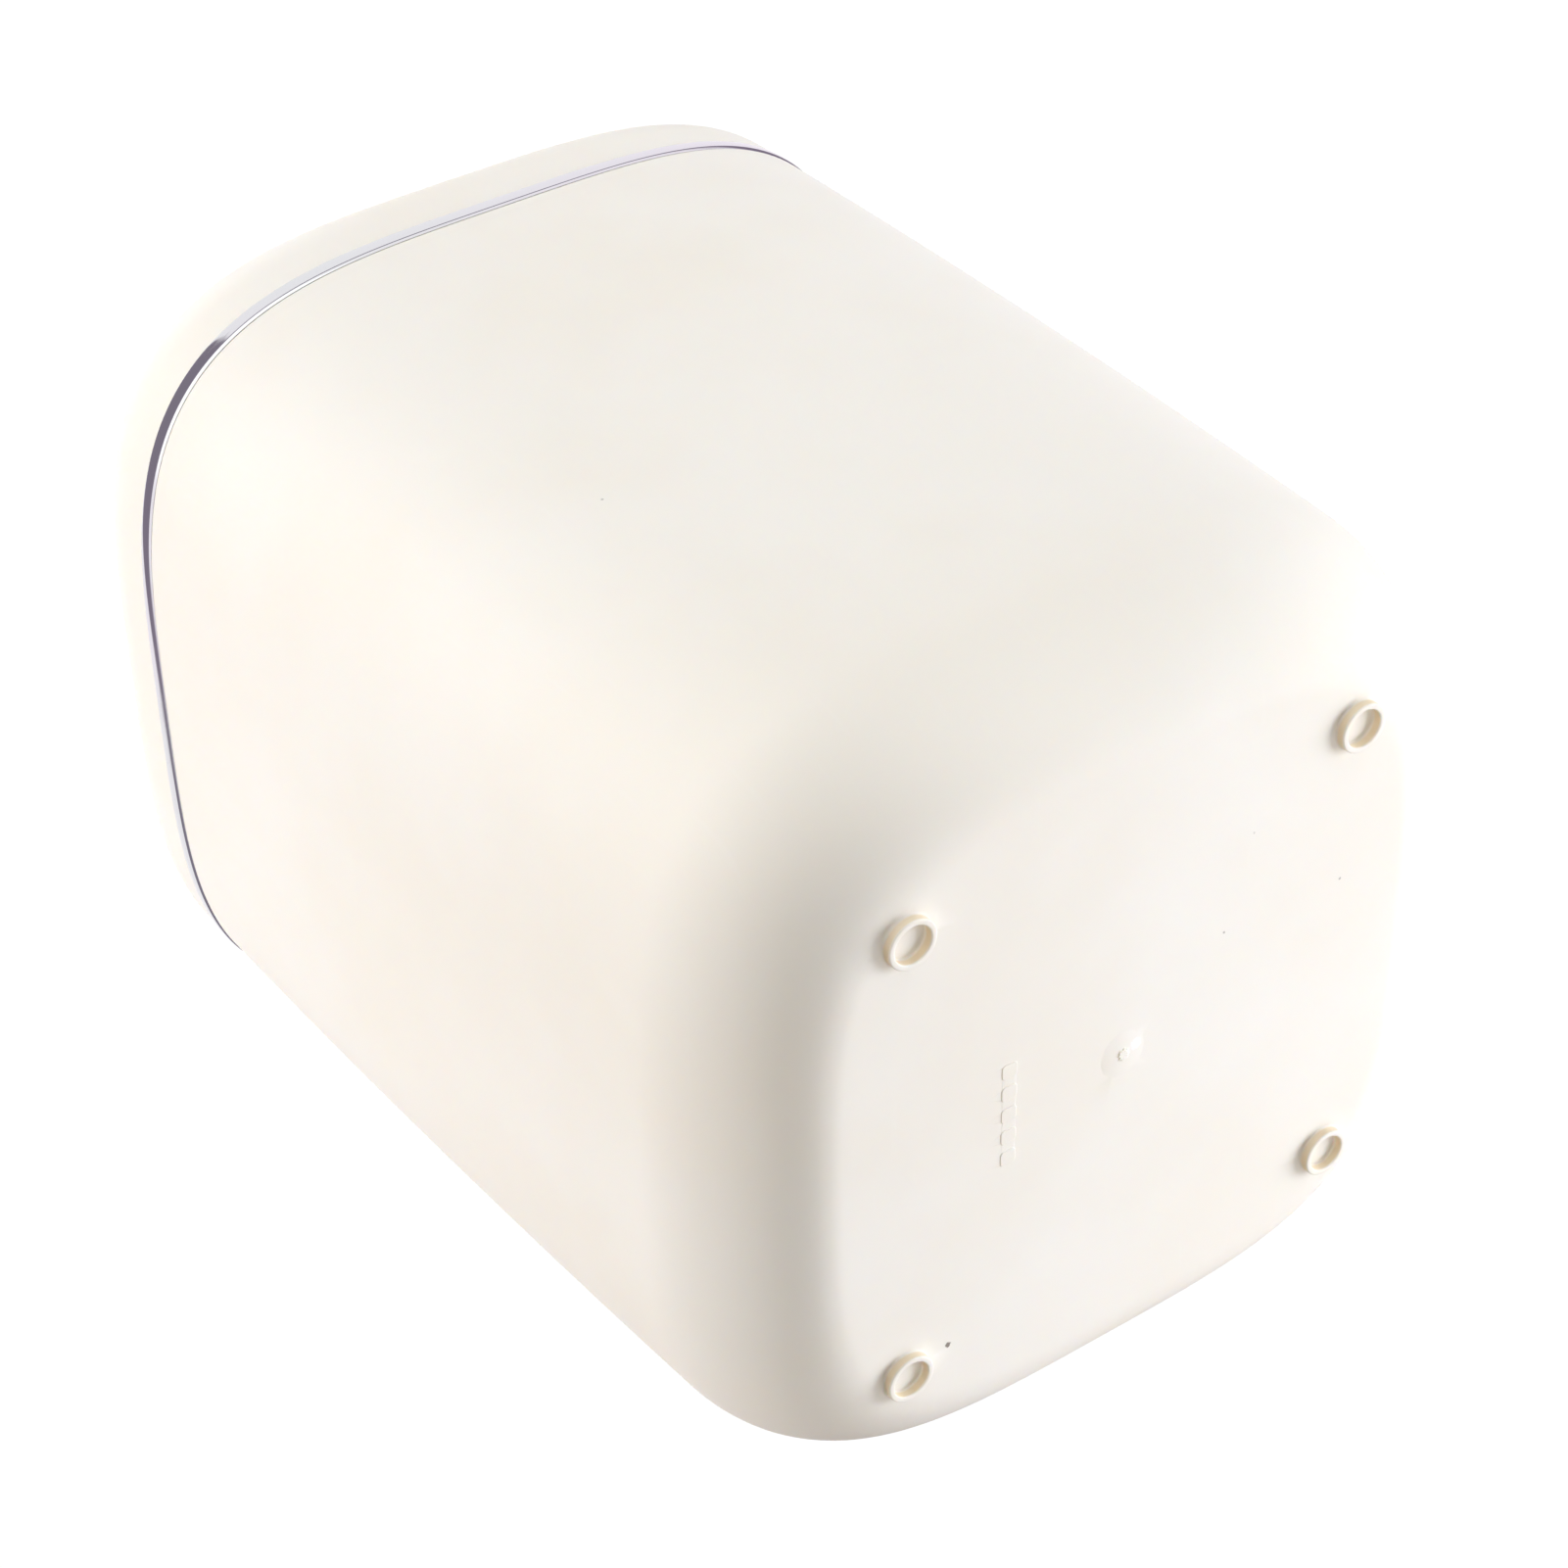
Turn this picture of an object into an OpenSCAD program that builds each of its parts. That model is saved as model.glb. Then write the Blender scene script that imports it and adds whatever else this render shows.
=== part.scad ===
// Push-to-open waste bin: a tapered square-round tub with a plated band, and a
// lift-off collar that carries a sprung lid, its latch and a push button.
// Z is up, the feet stand on Z = 0, the button is at the front (-Y).

/* [Tub] */
// Distance between neighbouring ring feet, centre to centre
foot_pitch = 120; // [100:1:130]
// Half width of the tub wall, carried down to the feet plane
base_half = 100; // [96:0.5:104]
// Half width of the tub at the band
band_half = 104.2; // [100:0.1:108]
// Outward bow of the wall at half height
wall_bow = 1.5; // [0:0.1:3]
// Squareness of the plan, where 2 is a circle
squareness = 3.64; // [3.2:0.02:4.4]
// Height of the band's lower edge
band_z = 237.4; // [220:0.2:250]
// Reach of the rounding at the base, inwards
base_round_in = 24; // [16:1:28]
// Reach of the rounding at the base, upwards
base_round_up = 36.6; // [24:0.2:44]
// Wall thickness of the tub
tub_wall = 2; // [1.6:0.1:2.4]
// Thickness of the tub's floor
tub_floor = 2.2; // [1.8:0.1:3]

/* [Feet] */
// Outer diameter of a ring foot
foot_d = 12; // [10:0.5:16]
// Wall thickness of a ring foot
foot_wall = 1.4; // [1:0.1:2]
// Height of a ring foot
foot_h = 2.3; // [1.5:0.1:3]

/* [Band] */
// Height of the plated band
band_h = 4; // [3:0.1:5]
// How far the band stands proud of the wall
band_proud = 0.4; // [0.2:0.1:0.6]
// Chamfer along the band's lower outer edge
band_chamfer = 0.8; // [0.4:0.1:1.2]

/* [Collar] */
// Overall height
total_h = 274; // [272:0.2:276]
// Radius of the rounding between the collar's side and its flat top
collar_round = 24; // [22:0.5:25]
// Thickness of the collar's wall and of its top
collar_wall = 2.2; // [2:0.1:2.4]

/* [Lid] */
// Width of the lid, left to right
lid_w = 152; // [148:1:154]
// Length of the lid, front to back
lid_l = 120.2; // [120:0.1:120.4]
// Corner radius of the lid
lid_corner = 30; // [24:1:34]
// Gap between the lid and the collar
lid_gap = 0.8; // [0.6:0.1:1]
// Height of the lid, panel and liner together
lid_h = 10.4; // [10.2:0.1:10.6]

/* [Hinge] */
// Distance from the bin's middle back to the hinge axis
hinge_y = 73; // [72.8:0.1:73.4]
// Radius of a hinge knuckle, which is also the depth of its axis
knuckle_r = 8; // [7.8:0.1:8.2]
// Width of a hinge knuckle
knuckle_w = 14; // [12:0.5:14]
// Distance of each knuckle from the middle
knuckle_x = 32; // [31.5:0.1:32.5]
// Diameter of the hinge rod and of the latch pin
rod_d = 3; // [2.8:0.1:3]

/* [Button] */
// Length of the push button
button_w = 40; // [36:1:40]
// Width of the push button
button_l = 13; // [12:0.5:13]
// How far the button travels
button_travel = 3; // [2.5:0.1:3]

/* [Hidden] */

ivory = [0.95, 0.93, 0.88];
silver = [0.82, 0.82, 0.84];
steel = [0.6, 0.6, 0.62];
white = [0.93, 0.93, 0.92];
rubber_grey = [0.7, 0.7, 0.68];

facets = 72;                           // sides of the square-round outlines
arc_step = 15;                         // degrees between the levels of a rounding
eps = 0.01;
$fn = 48;

floor_z = foot_h + tub_floor;          // top of the tub's floor
shoulder_z = band_z - 0.4;             // the tub's step below the band
neck_z = band_z + 10;                  // top of the neck that the collar sits on
neck_half = band_half - 3;             // outside of the neck
neck_wall = 1.6;
shoulder_drop = 7;                     // height of the slope inside the shoulder
tongue_gap = 0.3;                      // between the neck and the collar's tongue
tongue_wall = 1.2;                     // the collar's tongue inside the band
tongue_half = neck_half + tongue_gap + tongue_wall;
tongue_z = band_z + 0.6;
seat_h = 2;                            // ledge in the collar that rests on the neck
round_z = total_h - collar_round;      // where the collar's rounding starts
top_under_z = total_h - collar_wall;

gate_at = [0.6, -2];                   // moulding gate, just off the middle of the base
gate_swell_r = 6;                      // low swelling around it
gate_swell_h = 0.35;
gate_nub_r = 1.4;
gate_nub_h = 0.3;                      // torn-off nub on the swelling
mark_y = -33;                          // row of plain raised bars under the base
mark_pitch = 6;

lid_front = -60;
lid_back = lid_front + lid_l;
lid_mid = (lid_front + lid_back) / 2;
lid_under_z = total_h - lid_h;
panel_t = 2.2;
skirt_t = 1.8;
skirt_back = lid_back - 1.8;           // the skirt stays ahead of the panel's rear edge
liner_t = 1.8;
rear_gap = 1.5;                        // room behind the lid for its swing
well_t = 1.8;                          // wall around the opening
ledge_z = total_h - 15;                // bottom of the ledge that the pads stand on
ledge_t = 2;
ledge_in = 6;
boss_r = 3.5;
lid_boss_x = 50;
lid_boss_y = 36;
screw_r = 1.25;
pilot_r = 1.3;
clear_r = 1.7;
head_r = 2.8;
head_h = 1.8;
pad_r = 2.4;
pad_x = lid_w / 2 + lid_gap - 3.4;
pad_y = 20;

hinge_z = total_h - knuckle_r;
rod_r = rod_d / 2;
rod_play = 0.06;                       // running clearance around the rod
rod_half = 46;
ear_t = 3.5;
ear_out = knuckle_x + knuckle_w / 2 + 1;
ear_in = knuckle_x - knuckle_w / 2 - 1 - ear_t;
notch_w = knuckle_w + 1.5;
notch_back = hinge_y + knuckle_r + 0.5;
clip_x = 44;
clip_r = 3.2;
clip_t = 0.8;

lid_spring_x = 11;                     // inner end of each torsion spring's coil
lid_spring_r = 3.2;
lid_spring_wire = 0.5;                 // wire radius
lid_spring_pitch = 1.1;
lid_spring_turns = 5;
lid_leg = 20;                          // leg under the lid
frame_leg = 7;                         // leg under the collar's stop rib

cover_x = 57;
cover_front = hinge_y - 8.8;
cover_back = hinge_y + 11;
cover_z = total_h - 19.5;
cover_t = 1.5;
cover_boss_x = 52;

button_y = -71;
button_gap = 0.5;
cap_t = 2.5;
flange_t = 1.2;
flange_out = 2;
flange_top = top_under_z - 0.3;
sleeve_z = total_h - 8;
stem_y = -76;
stem_r = 2;
stem_w = 6;
dish_r = 100;
dish_depth = 0.6;

latch_y = -62;
latch_z = total_h - 25;
latch_hub_r = 4;
lever_w = 10;
lever_t = 3;
lever_end = -79;
hook_under_z = total_h - 15.5;
hook_t = 3;
hook_tip = -57.2;
latch_spring_y = -75.5;
latch_spring_r = 2.6;
latch_wire = 0.35;                     // wire radius
latch_turns = 6;
peg_r = 1.7;

housing_z = total_h - 37.5;
housing_t = 1.5;
cheek_in = lever_w / 2 + 0.4;
cheek_t = 1.8;
cheek_front = -81;
cheek_back = -58.9;
housing_top = total_h - 12;
housing_screw_x = 27.5;
striker_w = 9;
striker_y = -57;
striker_t = 1.8;
lip_reach = 1.6;
lip_t = 1.8;

// Half width of the outer wall at a height
function wall_half(z) =
    let (k = z / band_z)
    base_half + (band_half - base_half) * k + wall_bow * 4 * k * (1 - k);

// One level of a square-round outline
function squircle(half, z) = [
    for (i = [0 : facets - 1])
        let (t = 360 * i / facets, c = cos(t), s = sin(t), p = squareness,
             r = half / pow(pow(abs(c), p) + pow(abs(s), p), 1 / p))
        [r * c, r * s, z]
];

// Levels of the base rounding, moved in by a wall thickness, from the floor up
function base_levels(inset, low_z) = [
    for (t = [90 : -arc_step : 0])
        let (up = foot_h + base_round_up - low_z,
             z = low_z + up * (1 - sin(t)))
        [wall_half(z) - inset - (base_round_in - inset) * (1 - cos(t)), z]
];

// Levels of the straight wall above the rounding, from the rounding up to a height
function side_levels(inset, high_z) = [
    for (k = [0.25 : 0.25 : 1])
        let (low = foot_h + base_round_up, z = low + (high_z - low) * k)
        [wall_half(z) - inset, z]
];

// Levels of the collar's rounding, from its side up to the flat top
function collar_levels(inset) = [
    for (t = [0 : arc_step : 90])
        let (r = collar_round - inset, z = round_z + r * sin(t))
        [wall_half(z) - inset - r * (1 - cos(t)), z]
];

function turned(list) = [for (i = [len(list) - 1 : -1 : 0]) list[i]];

// Solid through square-round levels; the first and last are closed, or joined as a ring
module loft(levels, ring = false) {
    last = len(levels) - 1;
    sides = [
        for (k = [0 : ring ? last : last - 1], i = [0 : facets - 1])
            let (j = (i + 1) % facets, n = (k + 1) % (last + 1))
            [k * facets + i, n * facets + i, n * facets + j, k * facets + j]
    ];
    caps = ring ? [] : [
        [for (i = [0 : facets - 1]) i],
        [for (i = [facets - 1 : -1 : 0]) last * facets + i]
    ];
    polyhedron([for (l = levels) each squircle(l[0], l[1])], concat(sides, caps), convexity = 6);
}

// Flat outline with rounded corners, centred
module rounded(w, l, r) {
    square([w - 2 * r, l], center = true);
    square([w, l - 2 * r], center = true);
    for (x = [-1, 1], y = [-1, 1])
        translate([x * (w / 2 - r), y * (l / 2 - r)]) circle(r, $fn = 96);
}

// Outline around the lid, grown by a margin, with its rear edge at a given place
module lid_outline(margin, back) {
    front = lid_front - margin;
    translate([0, (front + back) / 2])
        rounded(lid_w + 2 * margin, back - front, lid_corner + margin);
}

module slab(z0, z1) translate([0, 0, z0]) linear_extrude(z1 - z0) children();

// Block between two corners
module block(low, high) translate(low) cube(high - low);

// Cylinder along X between two places
module bar_x(x0, x1, y, z, r) translate([x0, y, z]) rotate([0, 90, 0]) cylinder(r = r, h = x1 - x0);

// Upright cylinder between two heights
module post(x, y, z0, z1, r) translate([x, y, z0]) cylinder(r = r, h = z1 - z0);

// Outline in the Y-Z plane, extruded along X about the middle
module profile_x(width, points)
    translate([-width / 2, 0, 0]) rotate([90, 0, 90]) linear_extrude(width) polygon(points);

// Pan-head screw pointing up, with the flat side of its head at z
module screw_up(x, y, z, length) {
    difference() {
        union() {
            post(x, y, z - head_h, z, head_r);
            post(x, y, z - 0.5, z + length, screw_r);
        }
        for (a = [0, 90])
            translate([x, y, z - head_h]) rotate([0, 0, a]) cube([3.2, 0.7, 1.6], center = true);
    }
}

// Round wire along a path; ref is never parallel to the path
module wire(path, r, ref) {
    n = len(path);
    m = 6;
    function unit(v) = v / norm(v);
    rings = [
        for (i = [0 : n - 1])
            let (t = unit(path[min(i + 1, n - 1)] - path[max(i - 1, 0)]),
                 u = unit(cross(ref, t)), v = cross(t, u))
            [for (k = [0 : m - 1]) path[i] + r * (cos(360 * k / m) * u + sin(360 * k / m) * v)]
    ];
    polyhedron(
        [for (ring = rings) each ring],
        concat(
            [[for (k = [0 : m - 1]) k], [for (k = [m - 1 : -1 : 0]) (n - 1) * m + k]],
            [for (i = [0 : n - 2], k = [0 : m - 1])
                let (j = (k + 1) % m)
                [i * m + k, (i + 1) * m + k, (i + 1) * m + j, i * m + j]]
        ),
        convexity = 8
    );
}

module tub() color(ivory) {
    outer = concat(base_levels(0, foot_h), side_levels(0, shoulder_z));
    neck = [[neck_half, shoulder_z], [neck_half, neck_z], [neck_half - neck_wall, neck_z],
            [neck_half - neck_wall, shoulder_z - 1]];
    inner = concat(base_levels(tub_wall, floor_z), side_levels(tub_wall, shoulder_z - shoulder_drop));
    loft(concat(outer, neck, turned(inner)));
    swell_ball = (gate_swell_r * gate_swell_r + gate_swell_h * gate_swell_h) / (2 * gate_swell_h);
    translate([gate_at[0], gate_at[1], 0]) {
        intersection() {
            translate([0, 0, foot_h - gate_swell_h + swell_ball]) sphere(swell_ball, $fn = 180);
            post(0, 0, 0, foot_h + 1, gate_swell_r + 1);
        }
        post(0, 0, foot_h - gate_swell_h - gate_nub_h, foot_h + 1, gate_nub_r);
    }
    for (x = [-1, 1], y = [-1, 1])
        translate([x * foot_pitch / 2, y * foot_pitch / 2, 0]) difference() {
            cylinder(d = foot_d, h = foot_h + 0.5);
            translate([0, 0, -1]) cylinder(d = foot_d - 2 * foot_wall, h = foot_h + 1);
        }
    for (i = [-2 : 2])
        block([i * mark_pitch - 1.9, mark_y - 2, foot_h - 0.3], [i * mark_pitch + 1.9, mark_y + 2,
              foot_h + 0.5]);
}

module trim_band() color(silver) {
    top = band_z + band_h;
    out = band_half + band_proud;
    loft([[tongue_half, band_z], [out - band_chamfer, band_z], [out, band_z + band_chamfer],
          [out, top - 0.2], [out - 0.2, top], [tongue_half, top]], ring = true);
}

// Collar shell with its top closed, before the opening is cut
module collar_shell() {
    under = band_z + band_h;
    tongue_in = neck_half + tongue_gap;
    seat_in = neck_half - neck_wall - 0.5;
    wall_in = wall_half(round_z) - collar_wall;
    skin = turned(collar_levels(collar_wall));
    seat = [[wall_in, neck_z + seat_h], [seat_in, neck_z + seat_h], [seat_in, neck_z],
            [tongue_in, neck_z], [tongue_in, tongue_z]];
    outer = [[tongue_half, tongue_z], [tongue_half, under], [wall_half(under), under]];
    loft(concat(skin, seat, outer, collar_levels(0)));
}

module collar() color(ivory) {
    hole_back = lid_back + rear_gap;
    difference() {
        union() {
            collar_shell();
            difference() {
                slab(ledge_z, top_under_z + 0.5) lid_outline(lid_gap + well_t, hole_back + well_t);
                slab(ledge_z - 1, ledge_z + ledge_t + eps)
                    translate([0, (lid_front - lid_gap + hole_back) / 2])
                        rounded(lid_w + 2 * (lid_gap - ledge_in),
                                hole_back - lid_front + lid_gap - 2 * ledge_in,
                                lid_corner + lid_gap - ledge_in);
            }
            for (s = [-1, 1]) {
                for (x = [ear_in, ear_out])
                    block([s * (x + ear_t / 2) - ear_t / 2, hinge_y - 5, hinge_z - 6],
                          [s * (x + ear_t / 2) + ear_t / 2, hinge_y + 5, top_under_z + 0.5]);
                // stop rib for the spring's short leg
                block([s * 15.5 - 3.5, hinge_y + 4, hinge_z - lid_spring_r + lid_spring_wire + 0.1],
                      [s * 15.5 + 3.5, hinge_y + 6.5, top_under_z + 0.2]);
                post(s * cover_boss_x, hinge_y, cover_z + 3.5, top_under_z + 0.5, boss_r);
                post(s * housing_screw_x, button_y, housing_top, top_under_z + 0.5, boss_r);
            }
            translate([0, button_y]) slab(sleeve_z, top_under_z + 0.3) rounded(
                button_w + 2 * (flange_out + 0.6 + 1.5), button_l + 2 * (flange_out + 0.6 + 1.5),
                (button_l + 2 * (flange_out + 0.6 + 1.5)) / 2 - eps);
        }
        slab(ledge_z + ledge_t, total_h + 1) lid_outline(lid_gap, hole_back);
        // button hole and the room for its flange
        translate([0, button_y]) slab(sleeve_z - 1, total_h + 1) rounded(
            button_w + 2 * button_gap, button_l + 2 * button_gap, button_l / 2 + button_gap - eps);
        translate([0, button_y]) slab(sleeve_z - 1, top_under_z) rounded(
            button_w + 2 * (flange_out + 0.6), button_l + 2 * (flange_out + 0.6),
            button_l / 2 + flange_out + 0.6 - eps);
        // window for the latch hook, and its way through the ledge
        block([-8, latch_y - 2, ledge_z - 1], [8, lid_front + 1, total_h - 6]);
        block([-10, latch_y - 1, ledge_z - 1], [10, lid_front + 8, ledge_z + ledge_t + 1]);
        for (s = [-1, 1]) {
            // notch for a knuckle, slots for the spring's long leg, bore for the rod
            block([s * knuckle_x - notch_w / 2, lid_back - 9, ledge_z - 1],
                  [s * knuckle_x + notch_w / 2, notch_back, total_h + 1]);
            block([s * 14 - 6, lid_back - 1, ledge_z + ledge_t + eps],
                  [s * 14 + 6, hole_back + well_t + 1, hinge_z]);
            post(s * cover_boss_x, hinge_y, cover_z, total_h - 6, pilot_r);
            post(s * housing_screw_x, button_y, housing_top - 1, total_h - 4, pilot_r);
        }
        bar_x(-rod_half, rod_half, hinge_y, hinge_z, rod_r);
    }
}

module lid_panel() color(ivory) {
    difference() {
        union() {
            slab(total_h - panel_t, total_h) lid_outline(0, lid_back);
            slab(lid_under_z, total_h - panel_t + eps) lid_outline(0, skirt_back);
        }
        slab(lid_under_z - 1, total_h - panel_t) lid_outline(-skirt_t, skirt_back - skirt_t);
        // room for the liner's hinge arms at the rear
        for (s = [-1, 1])
            block([s * knuckle_x - knuckle_w / 2 - 0.1, skirt_back - skirt_t - 1, lid_under_z - 1],
                  [s * knuckle_x + knuckle_w / 2 + 0.1, lid_back + 1, total_h - panel_t]);
    }
    for (x = [-1, 1], y = [-1, 1])
        difference() {
            post(x * lid_boss_x, y * lid_boss_y, lid_under_z + liner_t, total_h - panel_t + eps, boss_r);
            post(x * lid_boss_x, y * lid_boss_y, lid_under_z, total_h - panel_t - 0.8, pilot_r);
        }
}

module hinge_arm() {
    arm = [[skirt_back - 8, lid_under_z], [skirt_back - 8, total_h - panel_t],
           [lid_back + 0.3, total_h - panel_t], [lid_back + 0.3, total_h], [hinge_y, total_h],
           [hinge_y, hinge_z - knuckle_r], [hinge_y - 7, hinge_z - knuckle_r + 0.7],
           [skirt_back - 0.4, lid_under_z]];
    difference() {
        union() {
            profile_x(knuckle_w, arm);
            bar_x(-knuckle_w / 2, knuckle_w / 2, hinge_y, hinge_z, knuckle_r, $fn = 96);
        }
        bar_x(-knuckle_w, knuckle_w, hinge_y, hinge_z, rod_r + rod_play);
    }
}

module lid_liner() color(white) {
    inset = skirt_t + 0.2;
    difference() {
        slab(lid_under_z, lid_under_z + liner_t) lid_outline(-inset, skirt_back - inset);
        for (x = [-1, 1], y = [-1, 1])
            post(x * lid_boss_x, y * lid_boss_y, lid_under_z - 1, lid_under_z + liner_t + 1, clear_r);
    }
    for (s = [-1, 1]) translate([s * knuckle_x, 0, 0]) hinge_arm();
    // striker that the latch hook holds, with two gussets
    lip_z = hook_under_z - 0.3;
    profile_x(striker_w, [[striker_y, lid_under_z + 1], [striker_y, lip_z], [striker_y - lip_reach, lip_z],
        [striker_y - lip_reach, lip_z - lip_t + 0.6], [striker_y - lip_reach + 0.6, lip_z - lip_t],
        [striker_y + striker_t, lip_z - lip_t], [striker_y + striker_t, lid_under_z + 1]]);
    for (x = [-3, 3]) translate([x, 0, 0])
        profile_x(1.5, [[striker_y + 1, lid_under_z + 1], [striker_y + 1, lip_z],
                        [striker_y + 6, lid_under_z + 1]]);
}

module lid_screws() color(steel)
    for (x = [-1, 1], y = [-1, 1]) screw_up(x * lid_boss_x, y * lid_boss_y, lid_under_z, 6);

module lid_bumpers() color(rubber_grey)
    for (x = [-1, 1], y = [-1, 1])
        post(x * pad_x, y * pad_y, ledge_z + ledge_t, lid_under_z - 0.3, pad_r);

module hinge_rod() color(steel) bar_x(-rod_half, rod_half, hinge_y, hinge_z, rod_r);

module rod_clips() color(steel)
    for (s = [-1, 1]) difference() {
        bar_x(s * clip_x - clip_t / 2, s * clip_x + clip_t / 2, hinge_y, hinge_z, clip_r);
        bar_x(-rod_half, rod_half, hinge_y, hinge_z, rod_r);
        block([s * clip_x - 1, hinge_y - 1, hinge_z - 5], [s * clip_x + 1, hinge_y + 1, hinge_z]);
    }

// Torsion spring on the rod: long leg under the lid, short leg under the stop rib
module lid_spring() {
    r = lid_spring_r;
    long = lid_spring_pitch * lid_spring_turns;
    coil = [for (t = [0 : 18 : 360 * lid_spring_turns])
        [lid_spring_x + lid_spring_pitch * t / 360, hinge_y + r * sin(t), hinge_z - r * cos(t)]];
    wire(concat([[lid_spring_x, hinge_y - lid_leg, hinge_z - r]], coil,
                [[lid_spring_x + long, hinge_y + frame_leg, hinge_z - r]]),
         lid_spring_wire, [1, 0, 0]);
}

module lid_spring_left() color(steel) mirror([1, 0, 0]) lid_spring();

module lid_spring_right() color(steel) lid_spring();

// Tray that hides the rod and springs from below
module hinge_cover() color(white) {
    difference() {
        union() {
            block([-cover_x, cover_front, cover_z], [cover_x, cover_back, cover_z + cover_t]);
            block([-cover_x, cover_front, cover_z], [cover_x, cover_front + cover_t, cover_z + 3]);
            block([-cover_x, cover_back - cover_t, cover_z], [cover_x, cover_back, cover_z + 7.5]);
            for (s = [-1, 1]) {
                block([s * (cover_x - cover_t / 2) - cover_t / 2, cover_front, cover_z],
                      [s * (cover_x - cover_t / 2) + cover_t / 2, cover_back, cover_z + 7.5]);
                post(s * cover_boss_x, hinge_y, cover_z, cover_z + 3.5, boss_r);
            }
        }
        for (s = [-1, 1]) post(s * cover_boss_x, hinge_y, cover_z - 1, cover_z + 4, clear_r);
    }
}

module hinge_cover_screws() color(steel)
    for (s = [-1, 1]) screw_up(s * cover_boss_x, hinge_y, cover_z, 10);

module push_button() color(ivory) {
    difference() {
        union() {
            translate([0, button_y]) {
                slab(flange_top - eps, total_h) rounded(button_w, button_l, button_l / 2 - eps);
                slab(flange_top - flange_t, flange_top) rounded(button_w + 2 * flange_out,
                    button_l + 2 * flange_out, button_l / 2 + flange_out - eps);
            }
            block([-stem_w / 2, stem_y - stem_r, latch_z + lever_t + 0.3 + stem_r],
                  [stem_w / 2, stem_y + stem_r, flange_top]);
            bar_x(-stem_w / 2, stem_w / 2, stem_y, latch_z + lever_t + 0.3 + stem_r, stem_r);
        }
        translate([0, button_y, total_h + dish_r - dish_depth]) sphere(dish_r, $fn = 180);
    }
}

module latch_hook() color(white) {
    difference() {
        union() {
            bar_x(-lever_w / 2, lever_w / 2, latch_y, latch_z, latch_hub_r);
            profile_x(lever_w, [[lever_end, latch_z], [lever_end, latch_z + lever_t],
                                [latch_y, latch_z + lever_t], [latch_y, latch_z]]);
            // upright arm and hook nose, with a ramp for the closing lid
            profile_x(striker_w - 1, [[latch_y - 2.5, latch_z], [latch_y - 2.5, hook_under_z + hook_t],
                [latch_y + 0.5, hook_under_z + hook_t], [hook_tip, hook_under_z + 0.8],
                [hook_tip, hook_under_z], [latch_y + 0.5, hook_under_z], [latch_y + 0.5, latch_z]]);
            post(0, latch_spring_y, latch_z - 2, latch_z + 1, peg_r);
        }
        bar_x(-lever_w, lever_w, latch_y, latch_z, rod_r + rod_play);
    }
}

module latch_pin() color(steel)
    bar_x(-cheek_in - cheek_t - 1, cheek_in + cheek_t + 1, latch_y, latch_z, rod_r);

module latch_spring() color(steel) {
    low = housing_z + housing_t + latch_wire + 0.05;
    high = latch_z - latch_wire - 0.05;
    end_turn = 2 * latch_wire + 0.05;
    rise = high - low - 2 * end_turn;
    path = [for (t = [0 : 20 : 360 * latch_turns])
        let (k = t / 360, n = latch_turns,
             z = k < 1 ? low + end_turn * k
               : k > n - 1 ? high - end_turn * (n - k)
               : low + end_turn + rise * (k - 1) / (n - 2))
        [latch_spring_r * cos(t), latch_spring_y + latch_spring_r * sin(t), z]];
    wire(path, latch_wire, [0, 0, 1]);
}

module latch_housing() color(white) {
    difference() {
        union() {
            block([-cheek_in - cheek_t, cheek_front, housing_z],
                  [cheek_in + cheek_t, cheek_back, housing_z + housing_t]);
            for (s = [-1, 1]) {
                block([s * (cheek_in + cheek_t / 2) - cheek_t / 2, cheek_front, housing_z],
                      [s * (cheek_in + cheek_t / 2) + cheek_t / 2, cheek_back, housing_top]);
                block([s * 19.6 - 12.4, button_y - 4, housing_top - 1.8],
                      [s * 19.6 + 12.4, button_y + 4, housing_top]);
                translate([s * (cheek_in + cheek_t + 3), 0, 0])
                    profile_x(6.2, [[button_y - 4, housing_top - 1], [button_y - 4, housing_top - 7],
                                    [button_y - 2.5, housing_top - 7], [button_y - 2.5, housing_top - 1]]);
            }
            post(0, latch_spring_y, housing_z, housing_z + housing_t + 3, peg_r);
        }
        for (s = [-1, 1])
            post(s * housing_screw_x, button_y, housing_top - 4, housing_top + 1, clear_r);
        bar_x(-20, 20, latch_y, latch_z, rod_r);
    }
}

module latch_screws() color(steel)
    for (s = [-1, 1]) screw_up(s * housing_screw_x, button_y, housing_top - 1.8, 8);

tub();
trim_band();
collar();
lid_panel();
lid_liner();
lid_screws();
lid_bumpers();
hinge_rod();
rod_clips();
lid_spring_left();
lid_spring_right();
hinge_cover();
hinge_cover_screws();
push_button();
latch_hook();
latch_pin();
latch_spring();
latch_housing();
latch_screws();
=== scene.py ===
import math

import bpy
import bmesh
from mathutils import Matrix, Vector
from mathutils.geometry import delaunay_2d_cdt


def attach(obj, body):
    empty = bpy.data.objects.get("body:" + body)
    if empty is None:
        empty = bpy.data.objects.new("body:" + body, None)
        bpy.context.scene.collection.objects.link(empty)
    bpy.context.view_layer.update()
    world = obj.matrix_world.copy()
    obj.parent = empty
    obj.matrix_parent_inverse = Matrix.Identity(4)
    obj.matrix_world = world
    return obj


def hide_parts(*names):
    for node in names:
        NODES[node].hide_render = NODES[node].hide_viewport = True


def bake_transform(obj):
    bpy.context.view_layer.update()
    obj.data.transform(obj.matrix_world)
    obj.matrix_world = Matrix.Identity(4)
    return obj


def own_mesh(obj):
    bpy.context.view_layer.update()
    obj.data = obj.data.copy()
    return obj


# Looks for a push-to-open waste bin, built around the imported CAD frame.
# Shapes are written in millimetres in the frame's axes and scaled to metres in solid().
MM = 0.001
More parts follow.
